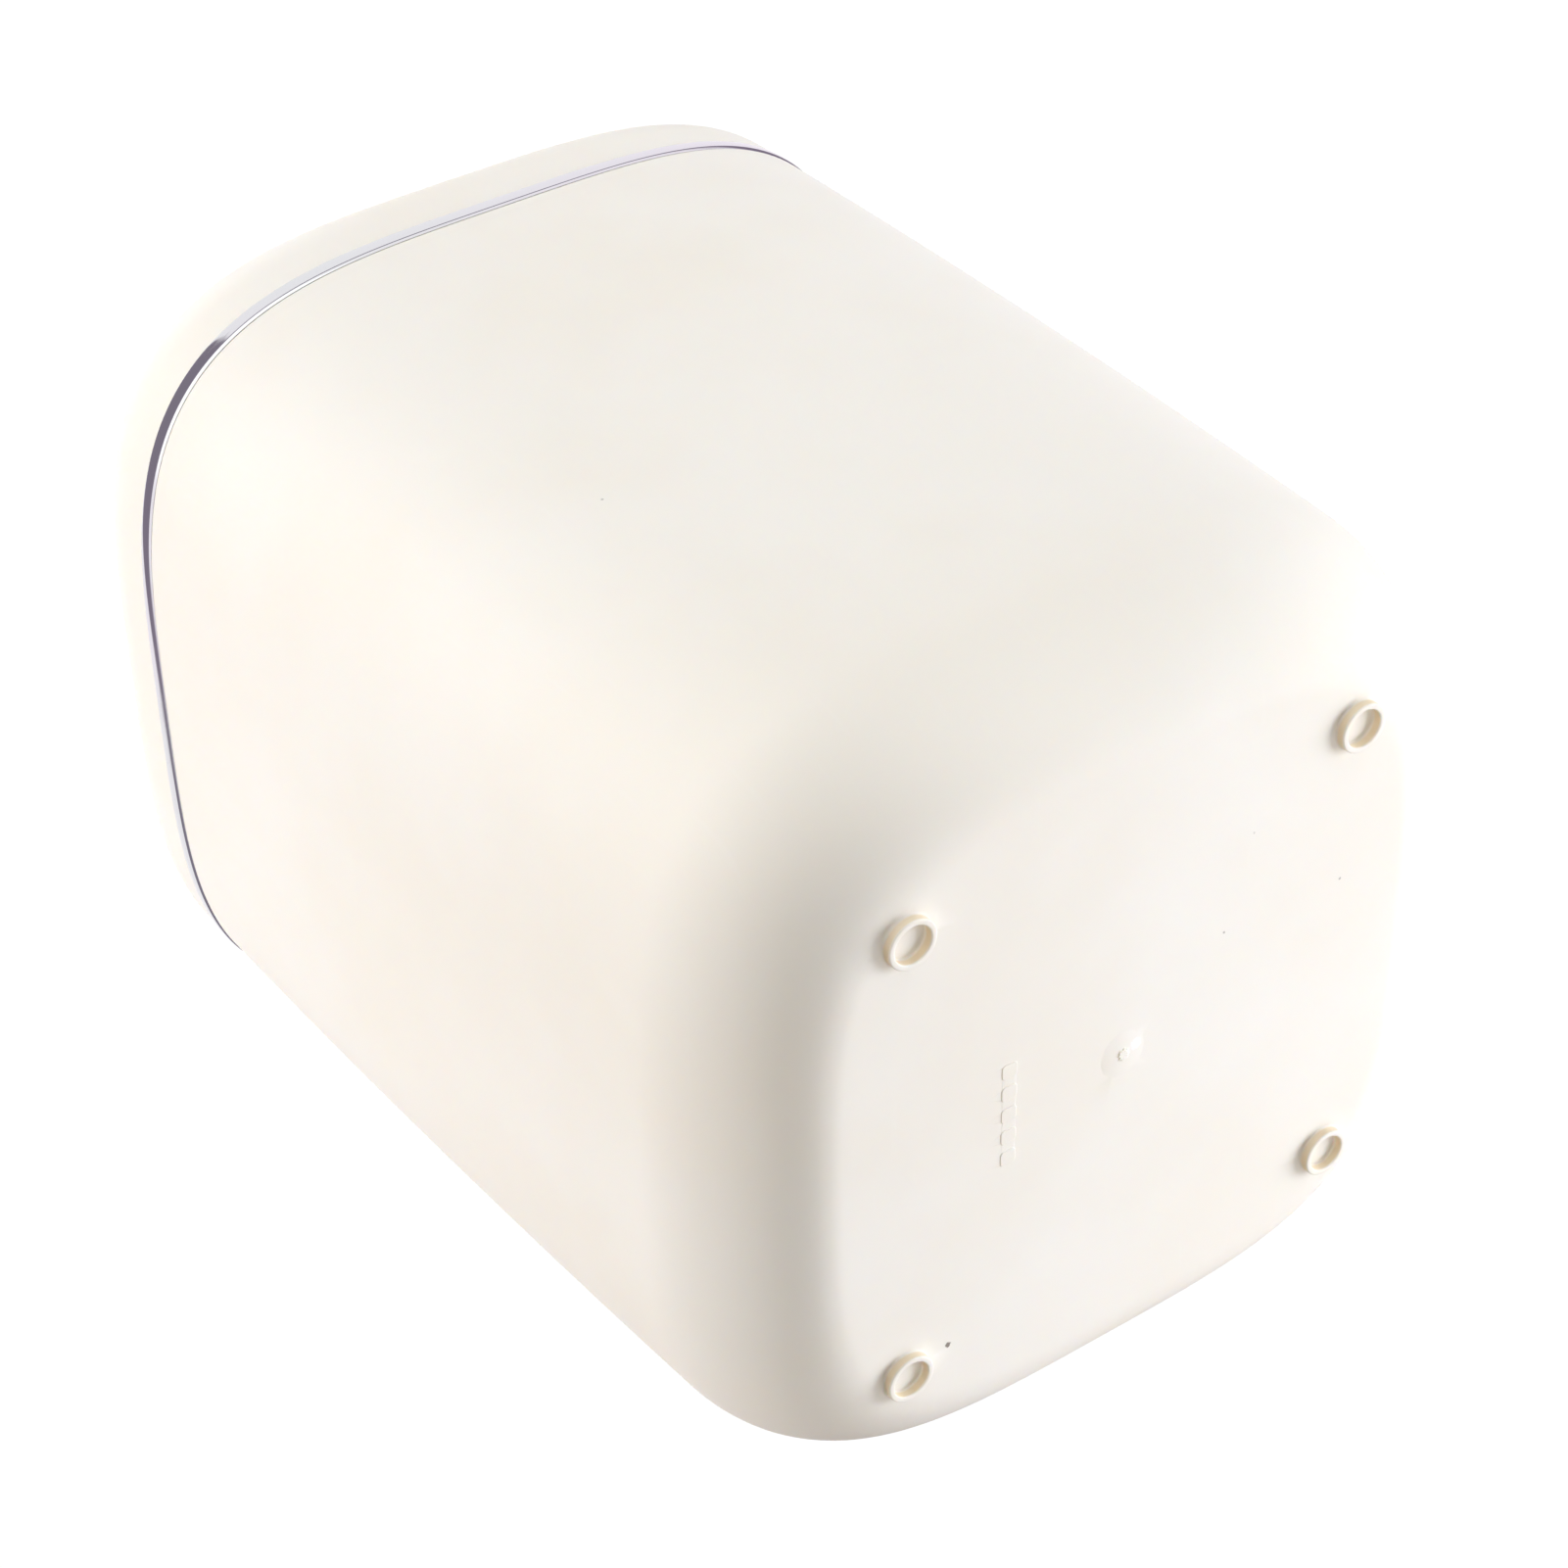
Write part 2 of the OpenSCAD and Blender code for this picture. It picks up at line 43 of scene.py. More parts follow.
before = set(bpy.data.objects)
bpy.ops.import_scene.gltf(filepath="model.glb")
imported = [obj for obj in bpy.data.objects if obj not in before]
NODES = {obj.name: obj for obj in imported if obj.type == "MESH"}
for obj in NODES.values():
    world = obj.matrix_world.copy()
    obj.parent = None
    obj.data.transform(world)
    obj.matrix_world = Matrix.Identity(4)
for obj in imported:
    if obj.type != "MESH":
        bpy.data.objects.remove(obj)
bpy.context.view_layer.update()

# --- Sizes shared with the CAD source, in millimetres ---------------------------------
SQUARENESS = 3.64
BASE_HALF, BAND_HALF, WALL_BOW, BAND_Z = 100.0, 104.2, 1.5, 237.4
ROUND_IN, ROUND_UP = 24.0, 36.6
TUB_WALL, FLOOR_Z = 2.0, 4.5
FOOT_H, FOOT_AT, FOOT_R, FOOT_WALL = 2.3, 60.0, 6.0, 1.4
GATE_AT, GATE_R, GATE_SWELL, NUB_R = (0.6, -2.0), 6.0, 0.35, 1.4
MARK_Y, MARK_PITCH, MARK_HALF_X, MARK_HALF_Y = -33.0, 6.0, 1.9, 2.0
SHOULDER_Z, NECK_Z, NECK_HALF, NECK_WALL = 237.0, 247.4, 101.2, 1.6
TOTAL_H, COLLAR_ROUND, COLLAR_WALL = 274.0, 24.0, 2.2
ROUND_Z = TOTAL_H - COLLAR_ROUND
TOP_UNDER = TOTAL_H - COLLAR_WALL
TONGUE_HALF = 102.7
BAND_H, BAND_OUT = 4.0, 104.6
LID_W, LID_FRONT, LID_BACK, LID_CORNER = 152.0, -60.0, 60.2, 30.0
LID_UNDER, PANEL_T, SKIRT_T, SKIRT_BACK = 263.6, 2.2, 1.8, 58.4
LID_GAP, REAR_GAP, WELL_T = 0.8, 1.5, 1.8
LEDGE_Z, LEDGE_T, LEDGE_IN = 259.0, 2.0, 6.0
LID_BOSS_X, LID_BOSS_Y = 50.0, 36.0
HINGE_Y, HINGE_Z, KNUCKLE_X, KNUCKLE_W = 73.0, 266.0, 32.0, 14.0
EARS_X, EAR_HALF, SPRING_STOP_X = (22.25, 41.75), 1.75, 15.5
ROD_HALF, ROD_R, SPRING_X, SPRING_ROOM = 46.0, 1.5, 14.0, 6.0
NOTCH_HALF, NOTCH_BACK, STRIKER_SLOT = 7.75, 81.5, 8.0
COVER_X, COVER_Z = 52.0, 254.5
BUTTON_Y, BUTTON_W, BUTTON_L, STEM_Y = -71.0, 40.0, 13.0, -76.0
SLEEVE_Z, HOUSING_TOP, HOUSING_X = 266.0, 262.0, 27.5
LATCH_Y, LATCH_Z = -62.0, 249.0
COIL_Y, COIL_SEAT = -75.5, 238.0
LID_WIRE_R, COIL_WIRE_R = 0.5, 0.3
BOSS_R, PILOT_R = 3.5, 1.3

AROUND = 288            # points around the square-round outlines
LIP = 0.6               # rounding along moulded edges of the top
RIM_T = 78              # angle of the base rounding where its level loops start


def half_at(z):
    """Half width of the outer wall at a height."""
    k = z / BAND_Z
    return BASE_HALF + (BAND_HALF - BASE_HALF) * k + WALL_BOW * 4 * k * (1 - k)


def squircle(half, z, count=AROUND):
    """One level of a square-round outline."""
    points = []
    for i in range(count):
        turn = 2 * math.pi * i / count
        c, s = math.cos(turn), math.sin(turn)
        reach = half / (abs(c) ** SQUARENESS + abs(s) ** SQUARENESS) ** (1 / SQUARENESS)
        points.append((reach * c, reach * s, z))
    return points


def circle(x, y, r, z, count=64):
    """One level of a round outline."""
    turns = [2 * math.pi * i / count for i in range(count)]
    return [(x + r * math.cos(t), y + r * math.sin(t), z) for t in turns]


def cornered(corners, grow=0.0, steps=8):
    """Flat outline through (x, y, radius) corners, anticlockwise, grown outwards; a negative
    radius marks a corner that turns the other way."""
    count = len(corners)
    points = []
    for i, (x, y, r) in enumerate(corners):
        here = Vector((x, y))
        into = (here - Vector(corners[i - 1][:2])).normalized()
        out = (Vector(corners[(i + 1) % count][:2]) - here).normalized()
        here = here + grow * Vector((into.y, -into.x)) + grow * Vector((out.y, -out.x))
        size = abs(r) + (grow if r > 0 else -grow)
        size = max(size, 0.05)
        centre = here - size * into + size * out
        start = here - size * into
        for k in range(steps + 1):
            turn = math.pi / 2 * k / steps
            arm = (start - centre) * math.cos(turn) + size * into * math.sin(turn)
            points.append(tuple(centre + arm))
    return points


def box_corners(x0, y0, x1, y1, r):
    """Corners of a rounded rectangle for cornered()."""
    return [(x1, y0, r), (x1, y1, r), (x0, y1, r), (x0, y0, r)]


class Skin:
    """Points and faces of one mesh, in millimetres."""

    def __init__(self):
        self.points = []
        self.faces = []

    def ring(self, points):
        """Adds points and returns their numbers."""
        start = len(self.points)
        self.points.extend(points)
        return list(range(start, len(self.points)))

    def bridge(self, a, b):
        """Quads between two rings of equal count."""
        for i in range(len(a)):
            j = (i + 1) % len(a)
            self.faces.append((a[i], a[j], b[j], b[i]))

    def cap(self, ring):
        """One face across a ring."""
        self.faces.append(tuple(ring))

    def loft(self, levels, first=None, last=None, closed=True):
        """Rings through levels of equal count; first and last reuse rings already made."""
        rings = [first] if first else []
        rings += [self.ring(level) for level in levels]
        rings += [last] if last else []
        for a, b in zip(rings, rings[1:]):
            self.bridge(a, b)
        if closed:
            if not first:
                self.cap(rings[0])
            if not last:
                self.cap(rings[-1])
        return rings

    def mesh(self, name):
        """The skin as a mesh in metres, with its normals outwards."""
        work = bmesh.new()
        verts = [work.verts.new(Vector(p) * MM) for p in self.points]
        for face in self.faces:
            work.faces.new([verts[i] for i in face])
        bmesh.ops.recalc_face_normals(work, faces=work.faces)
        mesh = bpy.data.meshes.new(name)
        work.to_mesh(mesh)
        work.free()
        return mesh


def solid(name, skin):
    """A Blender object from a skin."""
    made = bpy.data.objects.new(name, skin.mesh(name))
    bpy.context.scene.collection.objects.link(made)
    return made


def combine(target, cutter, operation):
    """Applies a Boolean of two closed meshes to the first one and removes the second."""
    change = target.modifiers.new("cut", "BOOLEAN")
    change.operation = operation
    change.solver = "MANIFOLD"
    change.object = cutter
    bpy.context.view_layer.update()
    ready = target.evaluated_get(bpy.context.evaluated_depsgraph_get())
    result = bpy.data.meshes.new_from_object(ready)
    target.modifiers.clear()
    target.data = result
    bpy.data.objects.remove(cutter)


def add(target, skin):
    """Joins a skin's solid to a piece."""
    combine(target, solid("part", skin), "UNION")


def cut(target, skin):
    """Takes a skin's solid out of a piece."""
    combine(target, solid("part", skin), "DIFFERENCE")


def prism(outline, z0, z1):
    """Straight solid over a flat outline."""
    skin = Skin()
    skin.loft([[(x, y, z) for x, y in outline] for z in (z0, z1)])
    return skin


def block(low, high):
    """Box between two corners."""
    outline = [(low[0], low[1]), (high[0], low[1]), (high[0], high[1]), (low[0], high[1])]
    return prism(outline, low[2], high[2])


def post(x, y, z0, z1, r):
    """Upright cylinder."""
    skin = Skin()
    skin.loft([circle(x, y, r, z) for z in (z0, z1)])
    return skin


def rod(x0, x1, y, z, r):
    """Cylinder along X."""
    skin = Skin()
    skin.loft([[(x, y + b, z + c) for b, c, _ in circle(0, 0, r, 0)] for x in (x0, x1)])
    return skin


def flared(corners, z0, z1, lip=LIP):
    """Cutter for an opening whose upper edge is rounded, reaching a little above z1."""
    skin = Skin()
    levels = [[(x, y, z0) for x, y in cornered(corners)]]
    for k in range(6):
        turn = math.radians(15 * k)
        grow, z = lip * (1 - math.cos(turn)), z1 - lip + lip * math.sin(turn)
        levels.append([(x, y, z) for x, y in cornered(corners, grow)])
    levels.append([(x, y, z1 + 0.5) for x, y in cornered(corners, lip * 1.1)])
    skin.loft(levels)
    return skin


def padded_slab(corners, z0, z1, top, bottom=0.3):
    """Solid over a rounded outline whose upper and lower edges are rounded."""
    skin = Skin()
    levels = []
    for k in range(5):
        turn = math.pi / 2 * k / 4
        shrink, z = bottom * (1 - math.sin(turn)), z0 + bottom * (1 - math.cos(turn))
        levels.append([(x, y, z) for x, y in cornered(corners, -shrink)])
    for k in range(9):
        turn = math.pi / 2 * k / 8
        shrink, z = top * (1 - math.cos(turn)), z1 - top + top * math.sin(turn)
        levels.append([(x, y, z) for x, y in cornered(corners, -shrink)])
    skin.loft(levels)
    return skin


def base_level(t, inset=0.0, low_z=FOOT_H, count=AROUND):
    """Level of the base rounding at an angle; 90 is the flat part's rim."""
    z = low_z + (FOOT_H + ROUND_UP - low_z) * (1 - math.sin(math.radians(t)))
    half = half_at(z) - inset - (ROUND_IN - inset) * (1 - math.cos(math.radians(t)))
    return squircle(half, z, count)


def base_z(x, y):
    """Height of the base's underside where it starts to round upwards."""
    half = (abs(x) ** SQUARENESS + abs(y) ** SQUARENESS) ** (1 / SQUARENESS)
    z = FOOT_H
    for _ in range(4):
        run = 1 - (half_at(z) - half) / ROUND_IN
        z = FOOT_H + ROUND_UP * (1 - math.sqrt(max(0.0, 1 - max(0.0, run) ** 2)))
    return z


def side_levels(inset, high_z, count=16):
    """Levels of the wall above the base rounding."""
    low = FOOT_H + ROUND_UP
    heights = [low + (high_z - low) * (k + 1) / count for k in range(count)]
    return [squircle(half_at(z) - inset, z) for z in heights]


def finish_shape(piece, angle=32):
    """Smooth shading with crisp edges above an angle, led by the large faces."""
    piece.data.shade_smooth()
    piece.data.set_sharp_from_angle(angle=math.radians(angle))
    lead = piece.modifiers.new("normals", "WEIGHTED_NORMAL")
    lead.keep_sharp = True
    lead.weight = 60


# --- Tub --------------------------------------------------------------------------------

def foot_profile():
    """Radius and height of a ring foot's skin, from its outer root to its inner root."""
    root, lip = 0.45, 0.35
    inner = FOOT_R - FOOT_WALL
    steps = [math.radians(a) for a in range(0, 91, 18)]
    outer_root = [(FOOT_R + root * (1 - math.sin(a)), FOOT_H - root * (1 - math.cos(a))) for a in steps]
    outer_lip = [(FOOT_R - lip * (1 - math.cos(a)), lip * (1 - math.sin(a))) for a in steps]
    inner_lip = [(inner + lip * (1 - math.sin(a)), lip * (1 - math.cos(a))) for a in steps]
    inner_root = [(inner - root * (1 - math.cos(a)), FOOT_H - root * (1 - math.sin(a))) for a in steps]
    return outer_root + outer_lip + inner_lip + inner_root


def add_foot(skin, root, x, y):
    """One ring foot, from its root loop in the base to the disc inside it."""
    levels = []
    for k, (r, z) in enumerate(foot_profile()[1:], start=1):
        fade = max(0.0, 1 - k / 5)
        ring = circle(x, y, r, z)
        levels.append([(a, b, c + fade * (base_z(a, b) - FOOT_H)) for a, b, c in ring])
    inner = FOOT_R - FOOT_WALL - 0.45
    levels += [circle(x, y, inner * k / 4, FOOT_H) for k in (3, 2, 1)]
    rings = skin.loft(levels, first=root, closed=False)
    skin.cap(rings[-1])


def add_gate(skin, root):
    """Low swelling around the moulding gate, with the gate's torn-off nub."""
    gate_x, gate_y = GATE_AT
    levels = []
    for k in range(1, 15):
        r = GATE_R + (NUB_R + 0.5 - GATE_R) * k / 14
        levels.append(circle(gate_x, gate_y, r, FOOT_H - GATE_SWELL * (1 - (r / GATE_R) ** 2)))
    for r, z in ((NUB_R + 0.12, 1.94), (NUB_R, 1.88), (NUB_R * 0.97, 1.71), (NUB_R * 0.85, 1.65)):
        ragged = []
        for i, (x, y, _) in enumerate(circle(0, 0, r, z)):
            turn = 2 * math.pi * i / 64
            k = 1 + 0.2 * math.sin(3 * turn + 0.7) * math.cos(5 * turn) + 0.07 * math.sin(11 * turn)
            lift = 0.08 * math.sin(4 * turn + 1.1) * (1 if z < 1.75 else 0)
            ragged.append((gate_x + x * k, gate_y + y * k, z + abs(lift)))
        levels.append(ragged)
    levels.append(circle(gate_x + 0.1, gate_y - 0.15, NUB_R * 0.45, 1.79))
    rings = skin.loft(levels, first=root, closed=False)
    skin.cap(rings[-1])


def mark_corners(index, grow=0.0):
    """Corners of one plain raised bar under the base."""
    x, y = MARK_PITCH * index, MARK_Y
    wide, deep = MARK_HALF_X + grow, MARK_HALF_Y + grow
    return box_corners(x - wide, y - deep, x + wide, y + deep, 0.9 + grow)


def add_mark(skin, root, index):
    """One plain raised bar, from its root loop in the base."""
    levels = []
    for grow, z in ((0.04, 2.26), (0.0, 2.2), (-0.06, 2.15), (-0.2, 2.13)):
        levels.append([(x, y, z) for x, y in cornered(mark_corners(index, grow), 0.0, 6)])
    rings = skin.loft(levels, first=root, closed=False)
    skin.cap(rings[-1])


def free_points(feet):
    """Points inside the flat part of the base, clear of what stands on it."""
    pitch = 6.5
    reach = half_at(FOOT_H) - ROUND_IN - 2.5
    keep_off = [(x, y, 9.0) for x, y in feet] + [(*GATE_AT, GATE_R + 2.5)]
    points = []
    for i in range(-12, 13):
        for j in range(-12, 13):
            x, y = i * pitch, j * pitch
            if abs(x) ** SQUARENESS + abs(y) ** SQUARENESS > reach ** SQUARENESS:
                continue
            if any(math.hypot(x - a, y - b) < r for a, b, r in keep_off):
                continue
            if abs(x) < 17.5 and abs(y - MARK_Y) < 5.1:
                continue
            points.append((x, y, FOOT_H))
    for t in range(90, RIM_T, -3):
        for x, y, z in base_level(t, count=AROUND // 2):
            if all(math.hypot(x - a, y - b) > FOOT_R + 1.1 for a, b in feet):
                points.append((x, y, z))
    return points


def flat_base(skin, rim):
    """The flat part of the base between its rim and the roots of what stands on it."""
    feet = [(x, y) for x in (-FOOT_AT, FOOT_AT) for y in (-FOOT_AT, FOOT_AT)]
    foot_roots = []
    for x, y in feet:
        root = circle(x, y, FOOT_R + 0.45, FOOT_H)
        foot_roots.append(skin.ring([(a, b, base_z(a, b)) for a, b, _ in root]))
    gate_root = skin.ring(circle(*GATE_AT, GATE_R, FOOT_H))
    marks = range(-2, 3)
    mark_roots = [
        skin.ring([(x, y, FOOT_H) for x, y in cornered(mark_corners(i, 0.12), 0.0, 6)])
        for i in marks
    ]
    loops = [rim] + foot_roots + [gate_root] + mark_roots
    ids = [i for loop in loops for i in loop] + skin.ring(free_points(feet))
    flat = [Vector(skin.points[i][:2]) for i in ids]
    edges, start = [], 0
    for loop in loops:
        n = len(loop)
        edges += [(start + k, start + (k + 1) % n) for k in range(n)]
        start += n
    out = delaunay_2d_cdt(flat, edges, [], 1, 1e-5)
    back = [ids[found[0]] for found in out[3]]
    holes = [(x, y, FOOT_R + 0.4) for x, y in feet] + [(*GATE_AT, GATE_R - 0.02)]
    for tri in out[2]:
        mid = sum((out[0][k] for k in tri), Vector((0, 0))) / 3
        if any(math.hypot(mid.x - a, mid.y - b) < r for a, b, r in holes):
            continue
        if abs(mid.y - MARK_Y) < 2.1 and any(abs(mid.x - MARK_PITCH * i) < 2.0 for i in marks):
            continue
        skin.faces.append(tuple(back[k] for k in tri))
    for root, (x, y) in zip(foot_roots, feet):
        add_foot(skin, root, x, y)
    add_gate(skin, gate_root)
    for root, i in zip(mark_roots, marks):
        add_mark(skin, root, i)


def build_tub():
    """Whole tub as one closed skin."""
    skin = Skin()
    rim = skin.ring(base_level(RIM_T))
    flat_base(skin, rim)
    edge = 0.35
    levels = [base_level(t) for t in range(RIM_T - 3, -1, -3)] + side_levels(0, SHOULDER_Z - edge)
    for a in (30, 60, 90):
        turn = math.radians(a)
        z = SHOULDER_Z - edge + edge * math.sin(turn)
        levels.append(squircle(half_at(z) - edge * (1 - math.cos(turn)), z))
    inner = NECK_HALF - NECK_WALL
    neck = [(NECK_HALF, SHOULDER_Z), (NECK_HALF, NECK_Z - 0.4), (NECK_HALF - 0.12, NECK_Z - 0.12),
            (NECK_HALF - 0.4, NECK_Z), (inner + 0.4, NECK_Z), (inner + 0.12, NECK_Z - 0.12),
            (inner, NECK_Z - 0.4), (inner, SHOULDER_Z - 1)]
    levels += [squircle(half, z) for half, z in neck]
    inside = [base_level(t, TUB_WALL, FLOOR_Z) for t in range(90, -1, -6)]
    inside += side_levels(TUB_WALL, SHOULDER_Z - 7, 8)
    levels += inside[::-1]
    rings = skin.loft(levels, first=rim, closed=False)
    skin.cap(rings[-1])
    piece = solid("bin_tub", skin)
    finish_shape(piece)
    return piece


# --- Band and collar --------------------------------------------------------------------

def build_band():
    """Plated band: a slim ring with a chamfered lower edge and a softly crowned face."""
    skin = Skin()
    z0, z1 = BAND_Z, BAND_Z + BAND_H
    profile = [(TONGUE_HALF, z0), (BAND_OUT - 0.62, z0), (BAND_OUT - 0.56, z0 + 0.03)]
    for a in (40, 30, 20, 10):
        turn = math.radians(a)
        profile.append((BAND_OUT - 0.1 - 0.5 * (1 - math.cos(turn)), z0 + 0.75 - 0.5 * math.sin(turn)))
    for k in range(7):
        across = k / 6
        z = z0 + 0.75 + (z1 - 0.3 - z0 - 0.75) * across
        profile.append((BAND_OUT - 0.1 * (2 * across - 1) ** 2, z))
    profile += [(BAND_OUT - 0.2, z1 - 0.1), (BAND_OUT - 0.35, z1), (TONGUE_HALF, z1)]
    rings = skin.loft([squircle(half, z, 360) for half, z in profile], closed=False)
    skin.bridge(rings[-1], rings[0])
    piece = solid("bin_band", skin)
    finish_shape(piece, 40)
    return piece


def collar_levels(inset, step):
    """Levels of the collar's rounding, from its side up to the flat top."""
    r = COLLAR_ROUND - inset
    levels = []
    for t in range(0, 91, step):
        z = ROUND_Z + r * math.sin(math.radians(t))
        half = half_at(z) - inset - r * (1 - math.cos(math.radians(t)))
        levels.append(squircle(half, z))
    return levels


def collar_shell():
    """Collar with its top still closed."""
    skin = Skin()
    under = BAND_Z + BAND_H
    tongue_in = NECK_HALF + 0.3
    seat_in = NECK_HALF - NECK_WALL - 0.5
    tongue_z = BAND_Z + 0.6
    wall_in = half_at(ROUND_Z) - COLLAR_WALL
    levels = collar_levels(COLLAR_WALL, 6)[::-1]
    for half, z in ((wall_in, NECK_Z + 2), (seat_in, NECK_Z + 2), (seat_in, NECK_Z),
                    (tongue_in, NECK_Z), (tongue_in, tongue_z), (TONGUE_HALF, tongue_z),
                    (TONGUE_HALF, under)):
        levels.append(squircle(half, z))
    edge = 0.35
    for a in (0, 30, 60, 90):
        turn = math.radians(a)
        z = under + edge * (1 - math.cos(turn))
        levels.append(squircle(half_at(z) - edge * (1 - math.sin(turn)), z))
    levels.append(squircle(half_at(under + 4), under + 4))
    levels += collar_levels(0, 3)
    skin.loft(levels)
    return skin


def opening_corners():
    """Opening for the lid with its two knuckle notches at the rear."""
    side = LID_W / 2 + LID_GAP
    front, back = LID_FRONT - LID_GAP, LID_BACK + REAR_GAP
    big = LID_CORNER + LID_GAP
    corners = [(side, front, big), (side, back, big)]
    for middle in (KNUCKLE_X, -KNUCKLE_X):
        right, left = middle + NOTCH_HALF, middle - NOTCH_HALF
        corners += [(right, back, -1.0), (right, NOTCH_BACK, 1.2)]
        corners += [(left, NOTCH_BACK, 1.2), (left, back, -1.0)]
    corners += [(-side, back, big), (-side, front, big)]
    return corners


def lid_corners(margin, back):
    """Corners of the lid's outline, grown by a margin, with its rear edge at a given place."""
    side = LID_W / 2 + margin
    return box_corners(-side, LID_FRONT - margin, side, back, LID_CORNER + margin)


def stadium(grow):
    """Corners of the button's outline, grown."""
    w, l = BUTTON_W / 2 + grow, BUTTON_L / 2 + grow
    return box_corners(-w, BUTTON_Y - l, w, BUTTON_Y + l, l - 0.01)


def collar_inside():
    """Solids joined under the collar's top."""
    back = LID_BACK + REAR_GAP
    roof = TOP_UNDER + 0.5
    parts = [prism(cornered(lid_corners(LID_GAP + WELL_T, back + WELL_T)), LEDGE_Z, roof)]
    parts.append(prism(cornered(stadium(4.1)), SLEEVE_Z, roof))
    for s in (-1, 1):
        for x in EARS_X:
            low = (s * x - EAR_HALF, HINGE_Y - 5, HINGE_Z - 6)
            parts.append(block(low, (s * x + EAR_HALF, HINGE_Y + 5, roof)))
        stop_x = s * SPRING_STOP_X
        parts.append(block((stop_x - 3.5, HINGE_Y + 4, HINGE_Z - 2.6), (stop_x + 3.5, HINGE_Y + 6.5, roof)))
        parts.append(post(s * COVER_X, HINGE_Y, COVER_Z + 3.5, roof, BOSS_R))
        parts.append(post(s * HOUSING_X, BUTTON_Y, HOUSING_TOP, roof, BOSS_R))
    return parts


def collar_cutters():
    """Solids taken out of the collar."""
    back = LID_BACK + REAR_GAP
    ledge = lid_corners(LID_GAP - LEDGE_IN, back - LEDGE_IN)
    parts = [prism(cornered(ledge), LEDGE_Z - 1, LEDGE_Z + LEDGE_T + 0.01)]
    parts.append(flared(opening_corners(), LEDGE_Z + LEDGE_T, TOTAL_H))
    parts.append(flared(stadium(0.5), SLEEVE_Z - 1, TOTAL_H, 0.4))
    parts.append(prism(cornered(stadium(2.6)), SLEEVE_Z - 1, TOP_UNDER))
    wide = STRIKER_SLOT
    parts.append(block((-wide, LATCH_Y - 2, LEDGE_Z - 1), (wide, LID_FRONT + 1, TOTAL_H - 6)))
    wide = STRIKER_SLOT + 2
    parts.append(block((-wide, LATCH_Y - 1, LEDGE_Z - 1), (wide, LID_FRONT + 8, LEDGE_Z + LEDGE_T + 1)))
    for s in (-1, 1):
        low = (s * KNUCKLE_X - NOTCH_HALF, LID_BACK - 9, LEDGE_Z - 1)
        high = (s * KNUCKLE_X + NOTCH_HALF, NOTCH_BACK, LEDGE_Z + LEDGE_T + 1)
        parts.append(block(low, high))
        low = (s * SPRING_X - SPRING_ROOM, LID_BACK - 1, LEDGE_Z + LEDGE_T + 0.01)
        parts.append(block(low, (s * SPRING_X + SPRING_ROOM, back + WELL_T + 1, HINGE_Z)))
        parts.append(post(s * COVER_X, HINGE_Y, COVER_Z, TOTAL_H - 6, PILOT_R))
        parts.append(post(s * HOUSING_X, BUTTON_Y, HOUSING_TOP - 1, TOTAL_H - 4, PILOT_R))
    parts.append(rod(-ROD_HALF, ROD_HALF, HINGE_Y, HINGE_Z, ROD_R))
    return parts


def build_collar():
    """Collar with its opening, ledge, hinge ears, bosses and button hole."""
    piece = solid("bin_collar", collar_shell())
    for part in collar_inside():
        add(piece, part)
    for part in collar_cutters():
        cut(piece, part)
    finish_shape(piece)
    return piece


# --- Lid and button ---------------------------------------------------------------------

def build_lid():
    """Lid panel: a plate with softened edges over a skirt, and four screw bosses."""
    piece = solid("lid_cap", padded_slab(lid_corners(0, LID_BACK), TOTAL_H - PANEL_T, TOTAL_H, 0.9))
    skirt = padded_slab(lid_corners(0, SKIRT_BACK), LID_UNDER, TOTAL_H - 1.2, 0.3)
    add(piece, skirt)
    hollow = lid_corners(-SKIRT_T, SKIRT_BACK - SKIRT_T)
    cut(piece, prism(cornered(hollow), LID_UNDER - 1, TOTAL_H - PANEL_T))
    half = KNUCKLE_W / 2 + 0.1
    for s in (-1, 1):
        low = (s * KNUCKLE_X - half, SKIRT_BACK - SKIRT_T - 1, LID_UNDER - 1)
        cut(piece, block(low, (s * KNUCKLE_X + half, LID_BACK + 1, TOTAL_H - PANEL_T)))
    for x in (-LID_BOSS_X, LID_BOSS_X):
        for y in (-LID_BOSS_Y, LID_BOSS_Y):
            add(piece, post(x, y, LID_UNDER + 1.8, TOTAL_H - PANEL_T + 0.1, BOSS_R))
            cut(piece, post(x, y, LID_UNDER, TOTAL_H - PANEL_T - 0.8, PILOT_R))
    finish_shape(piece)
    return piece


def thumb_dish(depth=0.6, ball=100.0, reach=13.5):
    """Cutter that leaves a shallow round dish in the button's top."""
    skin = Skin()
    levels = []
    for k in range(1, 16):
        r = reach * k / 15
        z = TOTAL_H - depth + ball - math.sqrt(ball * ball - r * r)
        levels.append(circle(0, BUTTON_Y, r, z, 96))
    levels.append(circle(0, BUTTON_Y, reach, TOTAL_H + 2, 96))
    skin.loft(levels)
    return skin


def build_button():
    """Push button: a rounded cap on a flange, with the stem that pushes the latch."""
    top = TOP_UNDER - 0.3
    piece = solid("button_cap", padded_slab(stadium(0), top - 0.6, TOTAL_H, 0.7, 0.1))
    cut(piece, thumb_dish())
    add(piece, padded_slab(stadium(2.0), top - 1.2, top, 0.15, 0.2))
    nose = LATCH_Z + 3.3
    add(piece, block((-3, STEM_Y - 2, nose + 2), (3, STEM_Y + 2, top - 0.5)))
    add(piece, rod(-3, 3, STEM_Y, nose + 2, 2))
    finish_shape(piece)
    return piece


# --- Springs ----------------------------------------------------------------------------

